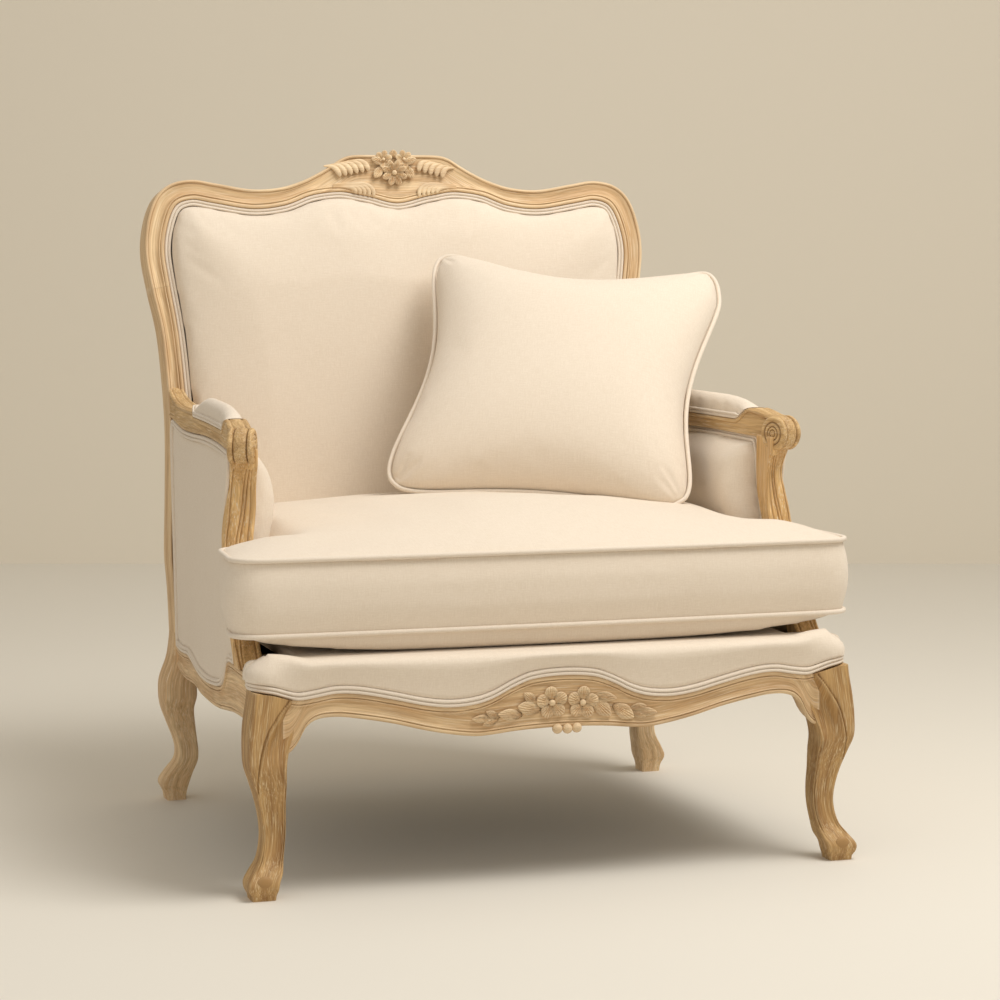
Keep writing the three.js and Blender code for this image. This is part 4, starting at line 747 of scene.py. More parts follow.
# Along from the rear, out to the centre line, underside, width.
arm_line = [
    (0, 0.3768, 0.5994, 0.0245), (0.0361, 0.3764, 0.5976, 0.0275), (0.0781, 0.376, 0.5931, 0.0315),
    (0.1322, 0.3756, 0.5875, 0.034), (0.2073, 0.376, 0.5869, 0.035), (0.3005, 0.3792, 0.59, 0.035),
    (0.3907, 0.3847, 0.5913, 0.035), (0.4808, 0.3918, 0.5906, 0.035),
    (0.5319, 0.397, 0.5894, 0.0343), (0.601, 0.4045, 0.5881, 0.0329),
]
# Top of the arm along from the rear: the sweep down from the stile, and the knuckle.
arm_sweep = [
    (0, 0.6475), (0.02, 0.6385), (0.045, 0.6305), (0.075, 0.6255), (0.11, 0.6222), (0.16, 0.6205),
    (0.6, 0.6205),
]
arm_knuckle = [(0.4, 0.631), (0.5319, 0.6303), (0.5589, 0.6272), (0.585, 0.6232), (0.601, 0.6222)]
pad_bed = 0.6112
scroll_rise, splay = 0.5975, radians(22)

# The scroll turned about its axis: in from the drum's end, radius.
drum_half = 0.0178
drum_end = [
    (-0.0016, 0), (-0.0014, 0.0028), (-0.0006, 0.0042), (0.0012, 0.005), (-0.0004, 0.006),
    (-0.0008, 0.0078), (0.0012, 0.0096), (-0.0004, 0.011), (-0.0006, 0.0136), (0.0014, 0.0158),
    (-0.0004, 0.0176), (-0.0004, 0.0208), (0.001, 0.0232), (0.0032, 0.0245), (0.0062, 0.0241),
    (0.0076, 0.0222), (0.0084, 0.0206), (0.0092, 0.0222), (0.0112, 0.0238),
]


def arm_at(y):
    return between(arm_line, arm_rear - y)


def eased(share):
    share = min(max(share, 0), 1)
    return share * share * (3 - 2 * share)


def arm_top(y):
    """Top of the arm: a sweep down from the stile, the pad's bed, then a rise to the knuckle."""
    along = arm_rear - y
    rear = 1 - eased((along - 0.211) / 0.006)
    front = eased((along - 0.486) / 0.048)
    height = pad_bed + (between(arm_sweep, along)[0] - pad_bed) * rear
    return height + (between(arm_knuckle, along)[0] - pad_bed) * front


def arm_relief(across, y):
    """Depth of the arm's top at a place across it: a bead at each edge, a reed between."""
    along = arm_rear - y
    worked = max(1 - eased((along - 0.19) / 0.02), eased((along - 0.515) / 0.02))
    groove = 0.0016 * np.exp(-(((abs(across) - 0.56) / 0.1) ** 2))
    bead = 0.0012 * max(abs(across) - 0.8, 0) / 0.2
    return (groove + bead) * worked + 0.0006 * max(abs(across) - 0.9, 0) / 0.1


def side_face_at(y, z):
    """Plane that the side's cloth is tacked to, between the rail and the arm."""
    out, _, width = arm_at(y)
    share = (z - rail_top) / (arm_height - rail_top)
    return (side_at(y)[0] * (1 - share) + (out + width / 2) * share) - 0.009


for side, flip in both_sides:
    arm = bmesh.new()
    rings, grain = [], []
    for y in np.linspace(arm_rear - 0.003, -arm_front, 210):
        out, low, width = arm_at(y)
        high = arm_top(y)
        half = width / 2
        tall = high - low
        flank = [
            (0.0006, 0.0022), (0, 0.0034), (0.0002, 0.0048), (0.0012, 0.0058), (0.0022, 0.0066),
            (0.0018, 0.0078), (0.0016, tall * 0.45), (0.0016, tall * 0.6), (0.0012, tall - 0.0062),
            (0.0002, tall - 0.0046), (0, tall - 0.003), (0.001, tall - 0.0006),
        ]
        section = [
            (share * (half - 0.001), high - arm_relief(share, y))
            for share in np.linspace(-1, 1, 31)
        ]
        section += [(half - inward, high - drop) for inward, drop in flank]
        section += [(half - 0.008, low), (0.008 - half, low)]
        section += [(inward - half, high - drop) for inward, drop in reversed(flank)]
        turn = splay * eased((arm_rear - y - 0.54) / 0.055)
        rings.append([
            Vector((out + dx * cos(turn), y + dx * sin(turn), rise)) for dx, rise in section
        ])
        grain.append([(y, dx, rise) for dx, rise in section])
    drawn_out(arm, rings, grain)
    out = arm_at(-arm_front)[0]
    drum = [(x - drum_half, radius) for x, radius in drum_end] + [(0, 0.0243)]
    drum += [(-x, radius) for x, radius in reversed(drum[:-1])]
    chain = [arm.verts.new((x, 0, radius * 1.04)) for x, radius in drum]
    edges = [arm.edges.new(pair) for pair in zip(chain, chain[1:])]
    bmesh.ops.spin(arm, geom=chain + edges, cent=(0, 0, 0), axis=(1, 0, 0), angle=2 * pi,
                   steps=48, use_merge=True)
    scroll = [vert for vert in arm.verts if not vert.link_faces or vert.co.length < 0.06]
    bmesh.ops.remove_doubles(arm, verts=scroll, dist=1e-6)
    scroll = [vert for vert in arm.verts if vert.co.length < 0.06]
    layer = arm.verts.layers.float_vector.get("grain")
    for vert in scroll:
        vert[layer] = (vert.co.y, vert.co.x, vert.co.z)
    bmesh.ops.rotate(arm, matrix=Matrix.Rotation(splay, 3, "Z"), verts=scroll)
    bmesh.ops.translate(arm, vec=(out - 0.001, -arm_front - 0.001, scroll_rise), verts=scroll)
    mesh = set_on(f"{side}_arm_carved", arm, arm_oak, [f"{side}_arm"], mirrored=flip).data
    # The drum's front takes more of the dark glaze colour: painted shade.
    tip = min(vert.co.y for vert in mesh.vertices)
    for vert, mark in zip(mesh.vertices, mesh.attributes["hollow"].data):
        mark.value += 0.17 * eased((tip + 0.075 - vert.co.y) / 0.035)  # painted shade on the drum's front

# Arm supports. Oak posts that sweep forward from under the scroll down to the side rail, with
# two grooves that run together at the top of the front face.
# Height, inner and outer face, then forward reach of the inner and outer front corner and of
# the inner, outer and rear edge of the wood.
support_line = [
    (0.3, 0.3962, 0.433, 0.371, 0.371, 0.3233, 0.3366, 0.3127),
    (0.315, 0.3962, 0.433, 0.3485, 0.3485, 0.3101, 0.3273, 0.2995),
    (0.34, 0.3949, 0.433, 0.3249, 0.3249, 0.2849, 0.3101, 0.2751),
    (0.38, 0.3932, 0.4321, 0.2915, 0.2899, 0.2584, 0.283, 0.248),
    (0.421, 0.391, 0.4308, 0.2751, 0.2679, 0.243, 0.2605, 0.2332),
    (0.467, 0.388, 0.4278, 0.2661, 0.2531, 0.234, 0.2388, 0.2239),
    (0.4904, 0.3849, 0.4239, 0.2629, 0.251, 0.23, 0.2298, 0.22),
    (0.51, 0.3832, 0.4209, 0.2629, 0.2459, 0.226, 0.2311, 0.216),
    (0.5399, 0.3832, 0.417, 0.265, 0.2419, 0.2221, 0.2406, 0.212),
    (0.572, 0.3832, 0.4178, 0.2761, 0.261, 0.2221, 0.2491, 0.212),
]


def support_relief(across, high):
    """Depth of the support's front at a place across it: an inner bead, and a ridge that runs
    from the middle at the top to the outer edge at the foot."""
    if high > 0.978:
        return -0.0008
    ridge = 0.72 - 1.05 * high**0.8
    depth = 0.0
    for line, side in ((-0.74, 1), (ridge, 1), (ridge, -1), (0.9, -1)):
        depth += 0.0027 * np.exp(-(((across - line - side * 0.12) / 0.07) ** 2))
    hollow = (across + 0.66) / max(ridge + 0.66, 0.1)
    if 0 < hollow < 1:
        depth += 0.001 * sin(pi * hollow)
    return depth


for side, flip in both_sides:
    support = bmesh.new()
    rings, grain = [], []
    for rise in np.linspace(0.3003, 0.593, 122):
        low_x, high_x, front_in, front_out, edge_in, edge_out, rear = between(support_line, rise)
        share_up = min(max((rise - rail_top) / 0.272, 0), 1)
        tongue_out = side_face_at(-edge_out, rise)
        tongue_rear = side_face_at(-rear, rise)
        points = []
        for share in np.linspace(0, 1, 45):
            x = low_x + (high_x - low_x) * share
            reach = front_in + (front_out - front_in) * share
            round_off = 0.0028 * max(abs(share * 2 - 1) - 0.88, 0) / 0.12
            points.append((x, -reach + support_relief(share * 2 - 1, share_up) + round_off))
        points += [
            (high_x, -edge_out), (tongue_out, -edge_out), (tongue_rear, -rear),
            (tongue_rear - 0.016, -rear), (side_face_at(-edge_in, rise) - 0.016, -edge_in),
            (low_x, -edge_in),
        ]
        rings.append([Vector((x, y, rise)) for x, y in points])
        grain.append([(rise, x, y) for x, y in points])
    drawn_out(support, rings, grain)
    set_on(f"{side}_arm_support_carved", support, support_oak, [f"{side}_arm_support"],
           mirrored=flip)

# Hidden timbers and fittings. The back rail is show oak. The lower back rail and the corner
# blocks are sawn wood left bare, glued and screwed into the corners.
rail_oak = oak("limed_oak_rail", (0.72, 0.5, 0.28, 1), (0.54, 0.335, 0.16, 1), straight=True)
bare_wood = oak("sawn_wood", (0.66, 0.5, 0.31, 1), (0.52, 0.36, 0.2, 1), (0.7, 0.55, 0.36, 1),
                straight=True)


def dress(node, finish):
    """Gives a solid of the frame that is shown as it is its finish."""
    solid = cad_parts[node]
    solid.data.materials.clear()
    solid.data.materials.append(finish)


dress("back_seat_rail", rail_oak)
dress("lower_back_rail", bare_wood)
zinc, tree, surface = new_finish("zinc_plate")
surface.inputs["Metallic"].default_value = 1
smears = noise(tree, put(tree, "TexCoord").outputs["Object"], 300.0)
tree.links.new(spread(tree, smears, 0.3, 0.7, 0.25, 0.5), surface.inputs["Roughness"])
tone = blended(tree, smears, (0.5, 0.5, 0.5, 1), (0.66, 0.66, 0.67, 1))
tree.links.new(tone, surface.inputs["Base Color"])
for place in ("right_front", "left_front", "right_rear", "left_rear"):
    dress(f"{place}_corner_block", bare_wood)
    dress(f"{place}_screw", zinc)

# Webbing and dust cover. Jute straps are tacked across the seat and up the back. A black
# non-woven cloth closes the seat's underside.
woven, given, result = effect(
    "plain_weave", {"Threads": "Vector", "Pitch": "Float"}, {"Height": "Float", "Slub": "Float"})
inputs = {0: given["Threads"], "Scale": given["Pitch"]}
scaled = put(woven, "VectorMath", {"operation": "SCALE"}, inputs).outputs[0]
parts = put(woven, "SeparateXYZ", {}, {0: scaled}).outputs
waves = [maths(woven, "SINE", maths(woven, "MULTIPLY", parts[way], 2 * pi)) for way in (0, 1)]
warp = stretched_noise(woven, scaled, (0.05, 0.9, 0.9), 2)
weft = stretched_noise(woven, scaled, (0.9, 0.05, 0.9), 2)
slub = maths(woven, "ADD", warp, weft)
woven.links.new(spread(woven, slub, 0.7, 1.3), result["Slub"])
woven.links.new(maths(woven, "ADD", maths(woven, "MULTIPLY", *waves), slub), result["Height"])


def cloth(name, tone, fleck, pitch, sheen, coordinates="UV"):
    """A plain woven cloth, its threads along the piece's own map or its object's axes."""
    finish, tree, surface = new_finish(name)
    place = put(tree, "TexCoord").outputs
    inputs = {"Threads": place[coordinates], "Pitch": pitch}
    weave = put(tree, "Group", {"node_tree": woven}, inputs).outputs
    cloudy = noise(tree, place["Object"], 7.0)
    grainy = noise(tree, place["Object"], 420.0, 2.0)
    colour = blended(tree, spread(tree, weave["Slub"], 0.2, 0.8, 0.1, 0.6), tone, fleck)
    colour = blended(tree, spread(tree, grainy, 0.35, 0.65, 0.0, 0.35), colour, fleck)
    colour = blended(tree, spread(tree, cloudy, 0.35, 0.65, 0.0, 0.18), colour, tone)
    tree.links.new(colour, surface.inputs["Base Color"])
    tree.links.new(spread(tree, grainy, 0.3, 0.7, 0.85, 1.0), surface.inputs["Roughness"])
    roughened(tree, surface, weave["Height"], 0.35, 0.0003)
    surface.inputs["Sheen Weight"].default_value = sheen
    surface.inputs["Sheen Roughness"].default_value = 0.6
    surface.inputs["Specular IOR Level"].default_value = 0.15
    return finish


jute = cloth("jute_webbing", (0.36, 0.26, 0.14, 1), (0.22, 0.15, 0.07, 1), 350, 0.1, "Object")
for node in sorted(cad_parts):
    if "_web_" in node:
        dress(node, jute)
black, worn_black = (0.02, 0.02, 0.02, 1), (0.045, 0.045, 0.045, 1)
black_cloth = cloth("dust_cloth", black, worn_black, 500, 0.0, "Object")
dress("dust_cover", black_cloth)

# Back upholstery. An oatmeal linen is stretched over a stuffed pad inside the frame and over a
# thinner one outside. Its raw edge is hidden by a double welt glued along the wood.
linen = cloth("oatmeal_linen", (0.86, 0.755, 0.625, 1), (0.74, 0.625, 0.49, 1), 1100, 0.25)
welt_linen = cloth("welt_linen", (0.85, 0.75, 0.63, 1), (0.74, 0.63, 0.5, 1), 1100, 0.25)
welt_width, welt_height = 0.0106, 0.0052
clearance = 0.0003  # between cloth and wood that only touch
beside_welt, welt_line = welt_width + 0.0004, welt_width / 2 + clearance


def inset(outline, distance):
    """Moves a closed outline inwards. It runs anticlockwise."""
    moved = []
    for place, point in enumerate(outline):
        first = (point - outline[place - 1]).normalized()
        second = (outline[(place + 1) % len(outline)] - point).normalized()
        inward = Vector((-first.y - second.y, first.x + second.x)).normalized()
        lean = max(inward.dot(Vector((-first.y, first.x))), 0.3)
        moved.append(point + inward * distance / lean)
    return moved


def within(outline, distance):
    """A line at an even distance inside an outline, without knots at its corners."""
    moved = inset(outline, distance)
    gaps = distance_in(outline, np.array([tuple(point) for point in moved]))
    return [point for point, gap in zip(moved, gaps) if gap > distance * 0.98]


def evenly(outline, pitch):
    """The same closed line with points at an even pitch."""
    points = np.array([tuple(point) for point in outline] + [tuple(outline[0])])
    run = np.concatenate([[0], np.cumsum(np.linalg.norm(np.diff(points, axis=0), axis=1))])
    at = np.linspace(0, run[-1], max(int(run[-1] / pitch), 8), endpoint=False)
    return [Vector([np.interp(spot, run, column) for column in points.T]) for spot in at]


def distance_in(outline, spots):
    """How far each spot lies from a closed line."""
    start = np.array([tuple(point) for point in outline])
    edge = np.roll(start, -1, axis=0) - start
    nearest = []
    for group in np.array_split(spots, max(len(spots) // 2000, 1)):
        way = group[:, None] - start
        share = np.clip((way * edge).sum(2) / ((edge**2).sum(1) + 1e-12), 0, 1)
        nearest.append(np.linalg.norm(way - edge * share[..., None], axis=2).min(1))
    return np.concatenate(nearest)


def worked_out(shape):
    """A shape with its modifiers applied, taken out of the scene."""
    bm = bmesh.new()
    bm.from_mesh(shape.evaluated_get(bpy.context.evaluated_depsgraph_get()).to_mesh())
    bpy.data.objects.remove(shape)
    return bm


def remeshed(bm, voxel):
    """The same closed shape in even facets."""
    shape = shape_of("shape", bm)
    step = shape.modifiers.new("remesh", "REMESH")
    step.mode = "VOXEL"
    step.voxel_size = voxel
    return worked_out(shape)


def filled(bm, grip, most, pressure=4.0):
    """Presses the cloth of a closed shape outwards by a few millimetres, as its filling does.
    Grip tells how firmly each point is held by a seam or by the wood under it."""
    shape = shape_of("shape", bm)
    mesh = shape.data
    still = np.zeros(len(mesh.vertices) * 3)
    mesh.vertices.foreach_get("co", still)
    still = still.reshape(-1, 3)
    group = shape.vertex_groups.new(name="held")
    for place, firm in enumerate(grip):
        group.add([place], float(firm), "REPLACE")
    filling = shape.modifiers.new("filling", "CLOTH")
    rules = filling.settings
    rules.quality = 5
    rules.mass = 0.3
    rules.tension_stiffness = rules.compression_stiffness = 20
    rules.shear_stiffness = 8
    rules.bending_stiffness = 0.8
    rules.use_pressure = True
    rules.uniform_pressure_force = pressure
    rules.vertex_group_mass = "held"
    rules.effector_weights.gravity = 0
    filling.collision_settings.use_collision = False
    filling.point_cache.frame_start = 1
    filling.point_cache.frame_end = 20
    for moment in range(1, 21):
        bpy.context.scene.frame_set(moment)
    now = np.zeros(still.size)
    done = shape.evaluated_get(bpy.context.evaluated_depsgraph_get())
    done.data.vertices.foreach_get("co", now)
    moved = now.reshape(-1, 3) - still
    size = np.linalg.norm(moved, axis=1, keepdims=True)
    still = still + moved * np.minimum(1, most / np.maximum(size, 1e-9))
    shape.modifiers.clear()
    bpy.context.scene.frame_set(1)
    mesh.vertices.foreach_set("co", still.ravel())
    fine = shape.modifiers.new("fine", "SUBSURF")
    fine.levels = fine.render_levels = 1
    return worked_out(shape)


def stuffed(outline, profile, place, voxel=0.007, most=0.0, settle=6):
    """A pad over an outline. Profile gives its height from the distance to the edge and the
    spot."""
    thick = voxel * 3
    bm = bmesh.new()
    ring = [bm.verts.new((point.x, point.y, 0)) for point in outline]
    edges = [bm.edges.new((ring[at - 1], ring[at])) for at in range(len(ring))]
    face = bmesh.ops.contextual_create(bm, geom=edges)["faces"]
    made = bmesh.ops.extrude_face_region(bm, geom=face)["geom"]
    top = [item for item in made if isinstance(item, bmesh.types.BMVert)]
    bmesh.ops.translate(bm, vec=(0, 0, thick), verts=top)
    bmesh.ops.holes_fill(bm, edges=bm.edges, sides=0)
    bmesh.ops.recalc_face_normals(bm, faces=bm.faces)
    bm = remeshed(bm, voxel)
    spots = np.array([vert.co[:] for vert in bm.verts])
    away = distance_in(outline, spots[:, :2])
    level = np.clip(spots[:, 2] / thick, 0, 1)
    heights = level * profile(away, spots[:, 0], spots[:, 1])
    loose = []
    for vert, height, share, gap in zip(bm.verts, heights, level, away):
        vert.co.z = height
        if share > 0.9 and gap > voxel:
            loose.append(vert)
    for _ in range(settle):
        bmesh.ops.smooth_vert(bm, verts=loose, factor=0.5, use_axis_z=True)
    if most:
        grip = np.where(level > 0.9, np.clip(1.6 - away / 0.012, 0, 1), 1)
        bm = filled(bm, grip, most)
    for vert in bm.verts:
        vert.co = place(*vert.co)
    return bm


def bulge(edge, crown, reach, broad=0.0, half=(1, 1), middle=(0, 0)):
    """Profile of a stuffed pad: its cloth springs up from the edge, rounds over within reach, and
    swells a little more towards the middle."""

    def profile(away, across, along):
        round_over = np.sqrt(1 - (1 - np.clip(away / reach, 0, 1)) ** 2)
        swell = np.clip(1 - ((across - middle[0]) / half[0]) ** 2, 0, 1)
        swell = swell * np.clip(1 - ((along - middle[1]) / half[1]) ** 2, 0, 1)
        return edge + crown * round_over**1.25 + broad * swell

    return profile


def upholster(name, bm, node, body="frame", mirrored=False, turn=None, crisp=80):
    """Turns a stuffed shape into a padded piece in linen."""
    piece = set_on(name, bm, linen, [node], body, crisp, mirrored)
    map_threads(piece, turn)


def trim(name, bm, nodes=(), body="frame", mirrored=False):
    """Turns a welt or a cord into a piece in its linen."""
    map_threads(set_on(name, bm, welt_linen, nodes, body, 70, mirrored))


def map_threads(piece, turn=None):
    """Lays the cloth's threads over a piece from the side that each face looks to."""
    mesh = piece.data
    turn = turn or Matrix.Identity(3)
    layer = mesh.uv_layers.get("threads") or mesh.uv_layers.new(name="threads")
    for face in mesh.polygons:
        facing = turn @ face.normal
        sizes = [abs(value) for value in facing]
        skip = sizes.index(max(sizes))
        kept = [axis for axis in range(3) if axis != skip]
        for loop in face.loop_indices:
            spot = turn @ mesh.vertices[mesh.loops[loop].vertex_index].co
            layer.data[loop].uv = (spot[kept[0]], spot[kept[1]])


def double_welt(outline, place, tilt=0.0):
    """Two cords side by side in one strip of cloth, glued along a closed line. Tilt stands the
    strip up against a pad's edge."""
    bm = bmesh.new()
    half = welt_width / 2
    section = [(half, 0)]
    for centre in (half / 2, -half / 2):
        section += [
            (centre + half * 0.5 * cos(turn), welt_height * (0.25 + 0.75 * sin(turn)))
            for turn in np.linspace(0.1, pi - 0.1, 8)
        ]
    section += [(-half, 0)]
    lean = radians(tilt)
    section = [
        (across * cos(lean) - rise * sin(lean), (across + half) * sin(lean) + rise * cos(lean))
        for across, rise in section
    ]
    rings, count = [], len(outline)
    for at, point in enumerate(outline):
        along = (outline[(at + 1) % count] - outline[at - 1]).normalized()
        rings.append([
            place(point.x - along.y * across, point.y + along.x * across, rise)
            for across, rise in section
        ])
    drawn_out(bm, rings, closed=True)
    return bm


def back_opening(bottom):
    places = [*np.linspace(0, shoulder, 90), *np.linspace(shoulder, stile_end, 60)[1:]]
    half = [back_edge(step, face_at(step)) for step in places]
    half = [point for point in half if point.y > bottom + 0.004]
    corner = Vector((half[-1].x, bottom))
    right = half[::-1]
    flip = [Vector((-point.x, point.y)) for point in half[1:]]
    return evenly([Vector((-corner.x, bottom)), corner, *right, *flip], 0.006)


def ahead(x, rise, height):
    return leaning(x, 0.0072 - height, rise)


def behind(x, rise, height):
    return leaning(x, 0.0343 + height, rise)


inside_back = back_opening(0.334 / cos(recline))
pad = stuffed(within(inside_back, beside_welt),
              bulge(0.0055, 0.032, 0.07, 0.0115, (0.37, 0.32), (0, 0.66)), ahead, 0.0075, 0.006)
upholster("inside_back_stuffed", pad, "inside_back_pad")
welt = double_welt(within(inside_back, welt_line), ahead)
trim("inside_back_double_welt", welt, ["inside_back_welt"])
outside_back = back_opening(0.3075 / cos(recline))
pad = stuffed(within(outside_back, beside_welt),
              bulge(0.004, 0.004, 0.08, 0.006, (0.37, 0.33), (0, 0.65)), behind, 0.009)
upholster("outside_back_stretched", pad, "outside_back_panel")
welt = double_welt(within(outside_back, welt_line), behind)
trim("outside_back_double_welt", welt, ["outside_back_welt"])

# Side upholstery. Each side is closed by a flat panel outside and a thick pad inside, with a
# double welt along rail, stile, arm and support.
side_thickness = 0.0163  # from the plane of the outer cloth to that of the inner


def back_face_at(z):
    return back_foot + z * tan(recline)


def support_edges(z):
    """Where the support's wood ends towards the rear, on its inner and on its outer face."""
    row = between(support_line, z)
    return -row[4], -row[5]


def under_arm(start, stop):
    return [Vector((y, arm_at(y)[1] - clearance)) for y in np.linspace(start, stop, 50)]


def behind_support(face, start, stop):
    heights = np.linspace(start, stop, 30)
    return [Vector((support_edges(z)[face] + clearance, z)) for z in heights]


def before_back(gap, start, stop, count):
    return [Vector((back_face_at(z) - gap, z)) for z in np.linspace(start, stop, count)]


def side_opening():
    """Opening of the side from outside, as (lengthways, up)."""
    run = np.linspace(support_edges(0.309)[1] + 0.012, back_face_at(rail_top) - 0.015, 60)
    bottom = [Vector((y, min(side_at(y)[2], rail_top) + clearance)) for y in run]
    rear = before_back(0.0006, 0.27, 0.578, 30)
    top = under_arm(back_face_at(arm_height) - 0.02, 0.0245 - arm_front)
    return evenly([*bottom, *rear, *top, *behind_support(1, 0.56, 0.32)], 0.006)


def inner_opening():
    """The same from inside, down to the seat's deck."""
    foot = 0.326
    rear = before_back(0.012, foot, 0.569, 24)
    top = under_arm(back_face_at(arm_height) - 0.036, support_edges(0.572)[0] + 0.009)
    run = np.linspace(support_edges(foot)[0] + clearance, back_face_at(foot) - 0.024, 40)
    bottom = [Vector((y, foot)) for y in run]
    return evenly([*rear, *top, *behind_support(0, 0.562, 0.335), *bottom], 0.006)


def outside_face(y, z, height):
    return Vector((side_face_at(y, z) + 0.0042 + height, y, z))


def inside_face(y, z, height):
    return Vector((side_face_at(y, z) - side_thickness - height, y, z))


def inside_stuffing(y, z, height):
    back = side_face_at(y, z) - side_thickness
    return Vector((back + (0.3545 - back) * height / 0.036, y, z))


def arm_side_stuffing(away, across, along):
    """The side pad is fullest over the cushion, under the arm."""
    round_over = np.sqrt(1 - (1 - np.clip(away / 0.034, 0, 1)) ** 2)
    full = 0.015 * np.exp(-(((along - 0.515) / 0.05) ** 2)) * np.clip(away / 0.024, 0, 1) ** 0.7
    return 0.0095 + 0.0265 * round_over + full


for side, flip in both_sides:
    outside, inside = f"{side}_outside_arm", f"{side}_inside_arm"
    outer, inner = side_opening(), inner_opening()
    pad = stuffed(within(outer, beside_welt),
                  bulge(0.0014, 0.0012, 0.05, 0.002, (0.3, 0.18), (0.02, 0.43)), outside_face)
    upholster(f"{outside}_stretched", pad, f"{outside}_panel", mirrored=flip)
    welt = double_welt(within(outer, welt_line), outside_face)
    trim(f"{outside}_double_welt", welt, [f"{outside}_welt"], mirrored=flip)
    pad = stuffed(within(inner, welt_width * 0.75), arm_side_stuffing, inside_stuffing, 0.0062)
    upholster(f"{inside}_stuffed", pad, f"{inside}_pad", mirrored=flip)
    welt = double_welt(within(inner, welt_line), inside_face, 42)
    trim(f"{inside}_double_welt", welt, [f"{inside}_welt"], mirrored=flip)

# Arm pads. A plump stuffed pad on the bed of each arm. A double welt stands round its foot and
# climbs the knuckle at the front.
pad_start, pad_stop = 0.219, 0.513


def arm_pad_outline(half):
    start, stop = arm_rear - pad_start - 0.013 + half, arm_rear - pad_stop + 0.013 - half
    places = np.linspace(start, stop, 70)
    outer = [Vector((arm_at(y)[0] + half, y)) for y in places]
    inner = [Vector((arm_at(y)[0] - half, y)) for y in places]
    ends = []
    for end, start in ((places[0], 0), (places[-1], pi)):
        x, turns = arm_at(end)[0], start + pi * np.linspace(0, 1, 14)[1:-1]
        ends.append([
            Vector((x + half * cos(turn), end + half * 0.9 * sin(turn))) for turn in turns
        ])
    return evenly([*ends[0], *inner, *ends[1], *outer[::-1]], 0.0025)


def arm_bed(x, y, height):
    return Vector((x, y, arm_top(y) + clearance + height))


def pad_edge(y):
    """Share of the pad's edge height: it thins out where the pad runs onto the knuckle."""
    return 1 - 0.9 * eased((arm_rear - pad_stop + 0.026 - y) / 0.018)


def manchette(away, across, along):
    """Height of the arm pad over the wood: domed, low at the rear end, level with the knuckle."""
    lift = np.array([arm_top(y) - pad_bed for y in along])
    rear = np.clip((arm_rear - pad_start + 0.003 - along) / 0.085, 0, 1)
    front = np.clip((along - (arm_rear - pad_stop)) / 0.1, 0, 1)
    crown = 0.0195 + 0.0145 * np.sqrt(1 - (1 - front) ** 2)
    crown = 0.0085 + (crown - 0.0085) * np.sqrt(1 - (1 - rear) ** 2)
    foot = 0.0085 * np.array([pad_edge(y) for y in along]) + lift
    dome = np.sqrt(1 - (1 - np.clip(away / 0.0148, 0, 1)) ** 2)
    return foot + np.maximum(crown - foot, 0.001) * dome - lift


for side, flip in both_sides:
    pad = stuffed(arm_pad_outline(0.0149), manchette, arm_bed, 0.0034, settle=3)
    upholster(f"{side}_arm_pad_stuffed", pad, f"{side}_arm_pad", mirrored=flip)
    foot = arm_pad_outline(0.0146)
    section = [(0, 0), *[
        (0.0028 * (0.3 + 0.7 * sin(turn)), centre - 0.0023 * cos(turn))
        for centre in (0.0024, 0.007) for turn in np.linspace(0.1, pi - 0.1, 7)
    ], (0, 0.0094)]
    rings = []
    for at, point in enumerate(foot):
        along = (foot[(at + 1) % len(foot)] - foot[at - 1]).normalized()
        low = pad_edge(point.y)
        rings.append([
            arm_bed(point.x + along.y * reach, point.y - along.x * reach, up * low)
            for reach, up in section
        ])
    welt = bmesh.new()
    drawn_out(welt, rings, closed=True)
    trim(f"{side}_arm_pad_double_welt", welt, [f"{side}_arm_pad_welt"], mirrored=flip)

# Seat. A stuffed deck over the webbing, and a rolled front border over the apron with a double
# welt along its foot.
deck_top, border_turn, half_front = 0.322, 0.027, 0.433


def border_path():
    straight = half_front - border_turn
    right = [(x, apron_face_at(x), 0.0) for x in np.linspace(0, straight, 80)]
    for share in np.linspace(0, 1, 10)[1:]:
        turn = share * pi / 2
        back = border_turn - apron_face - border_turn * cos(turn)
        right.append((straight + border_turn * sin(turn), back, turn))
    right.append((half_front, -side_front - 0.0093, pi / 2))
    return [(-x, y, -turn) for x, y, turn in reversed(right[1:])] + right


def border_foot(x, y):
    return apron_at(min(abs(x), apron_end))[1] + max(y + apron_face - border_turn, 0) * 0.4


def off_path(spot, out, z):
    x, y, turn = spot
    return Vector((x + sin(turn) * out, y - cos(turn) * out, z))


def two_cords(root, foot):
    """Section of a double welt on the border's foot: out from the pad, up the strip."""
    section = [(root, -welt_width / 2), (root, welt_width / 2)]
    for centre in (welt_width / 4, -welt_width / 4):
        section += [
            (welt_height * (foot + 0.7 * sin(lap)), centre + welt_width * 0.25 * cos(lap))
            for lap in np.linspace(0, pi, 8)[0 if centre > 0 else 1:]
        ]
    return section


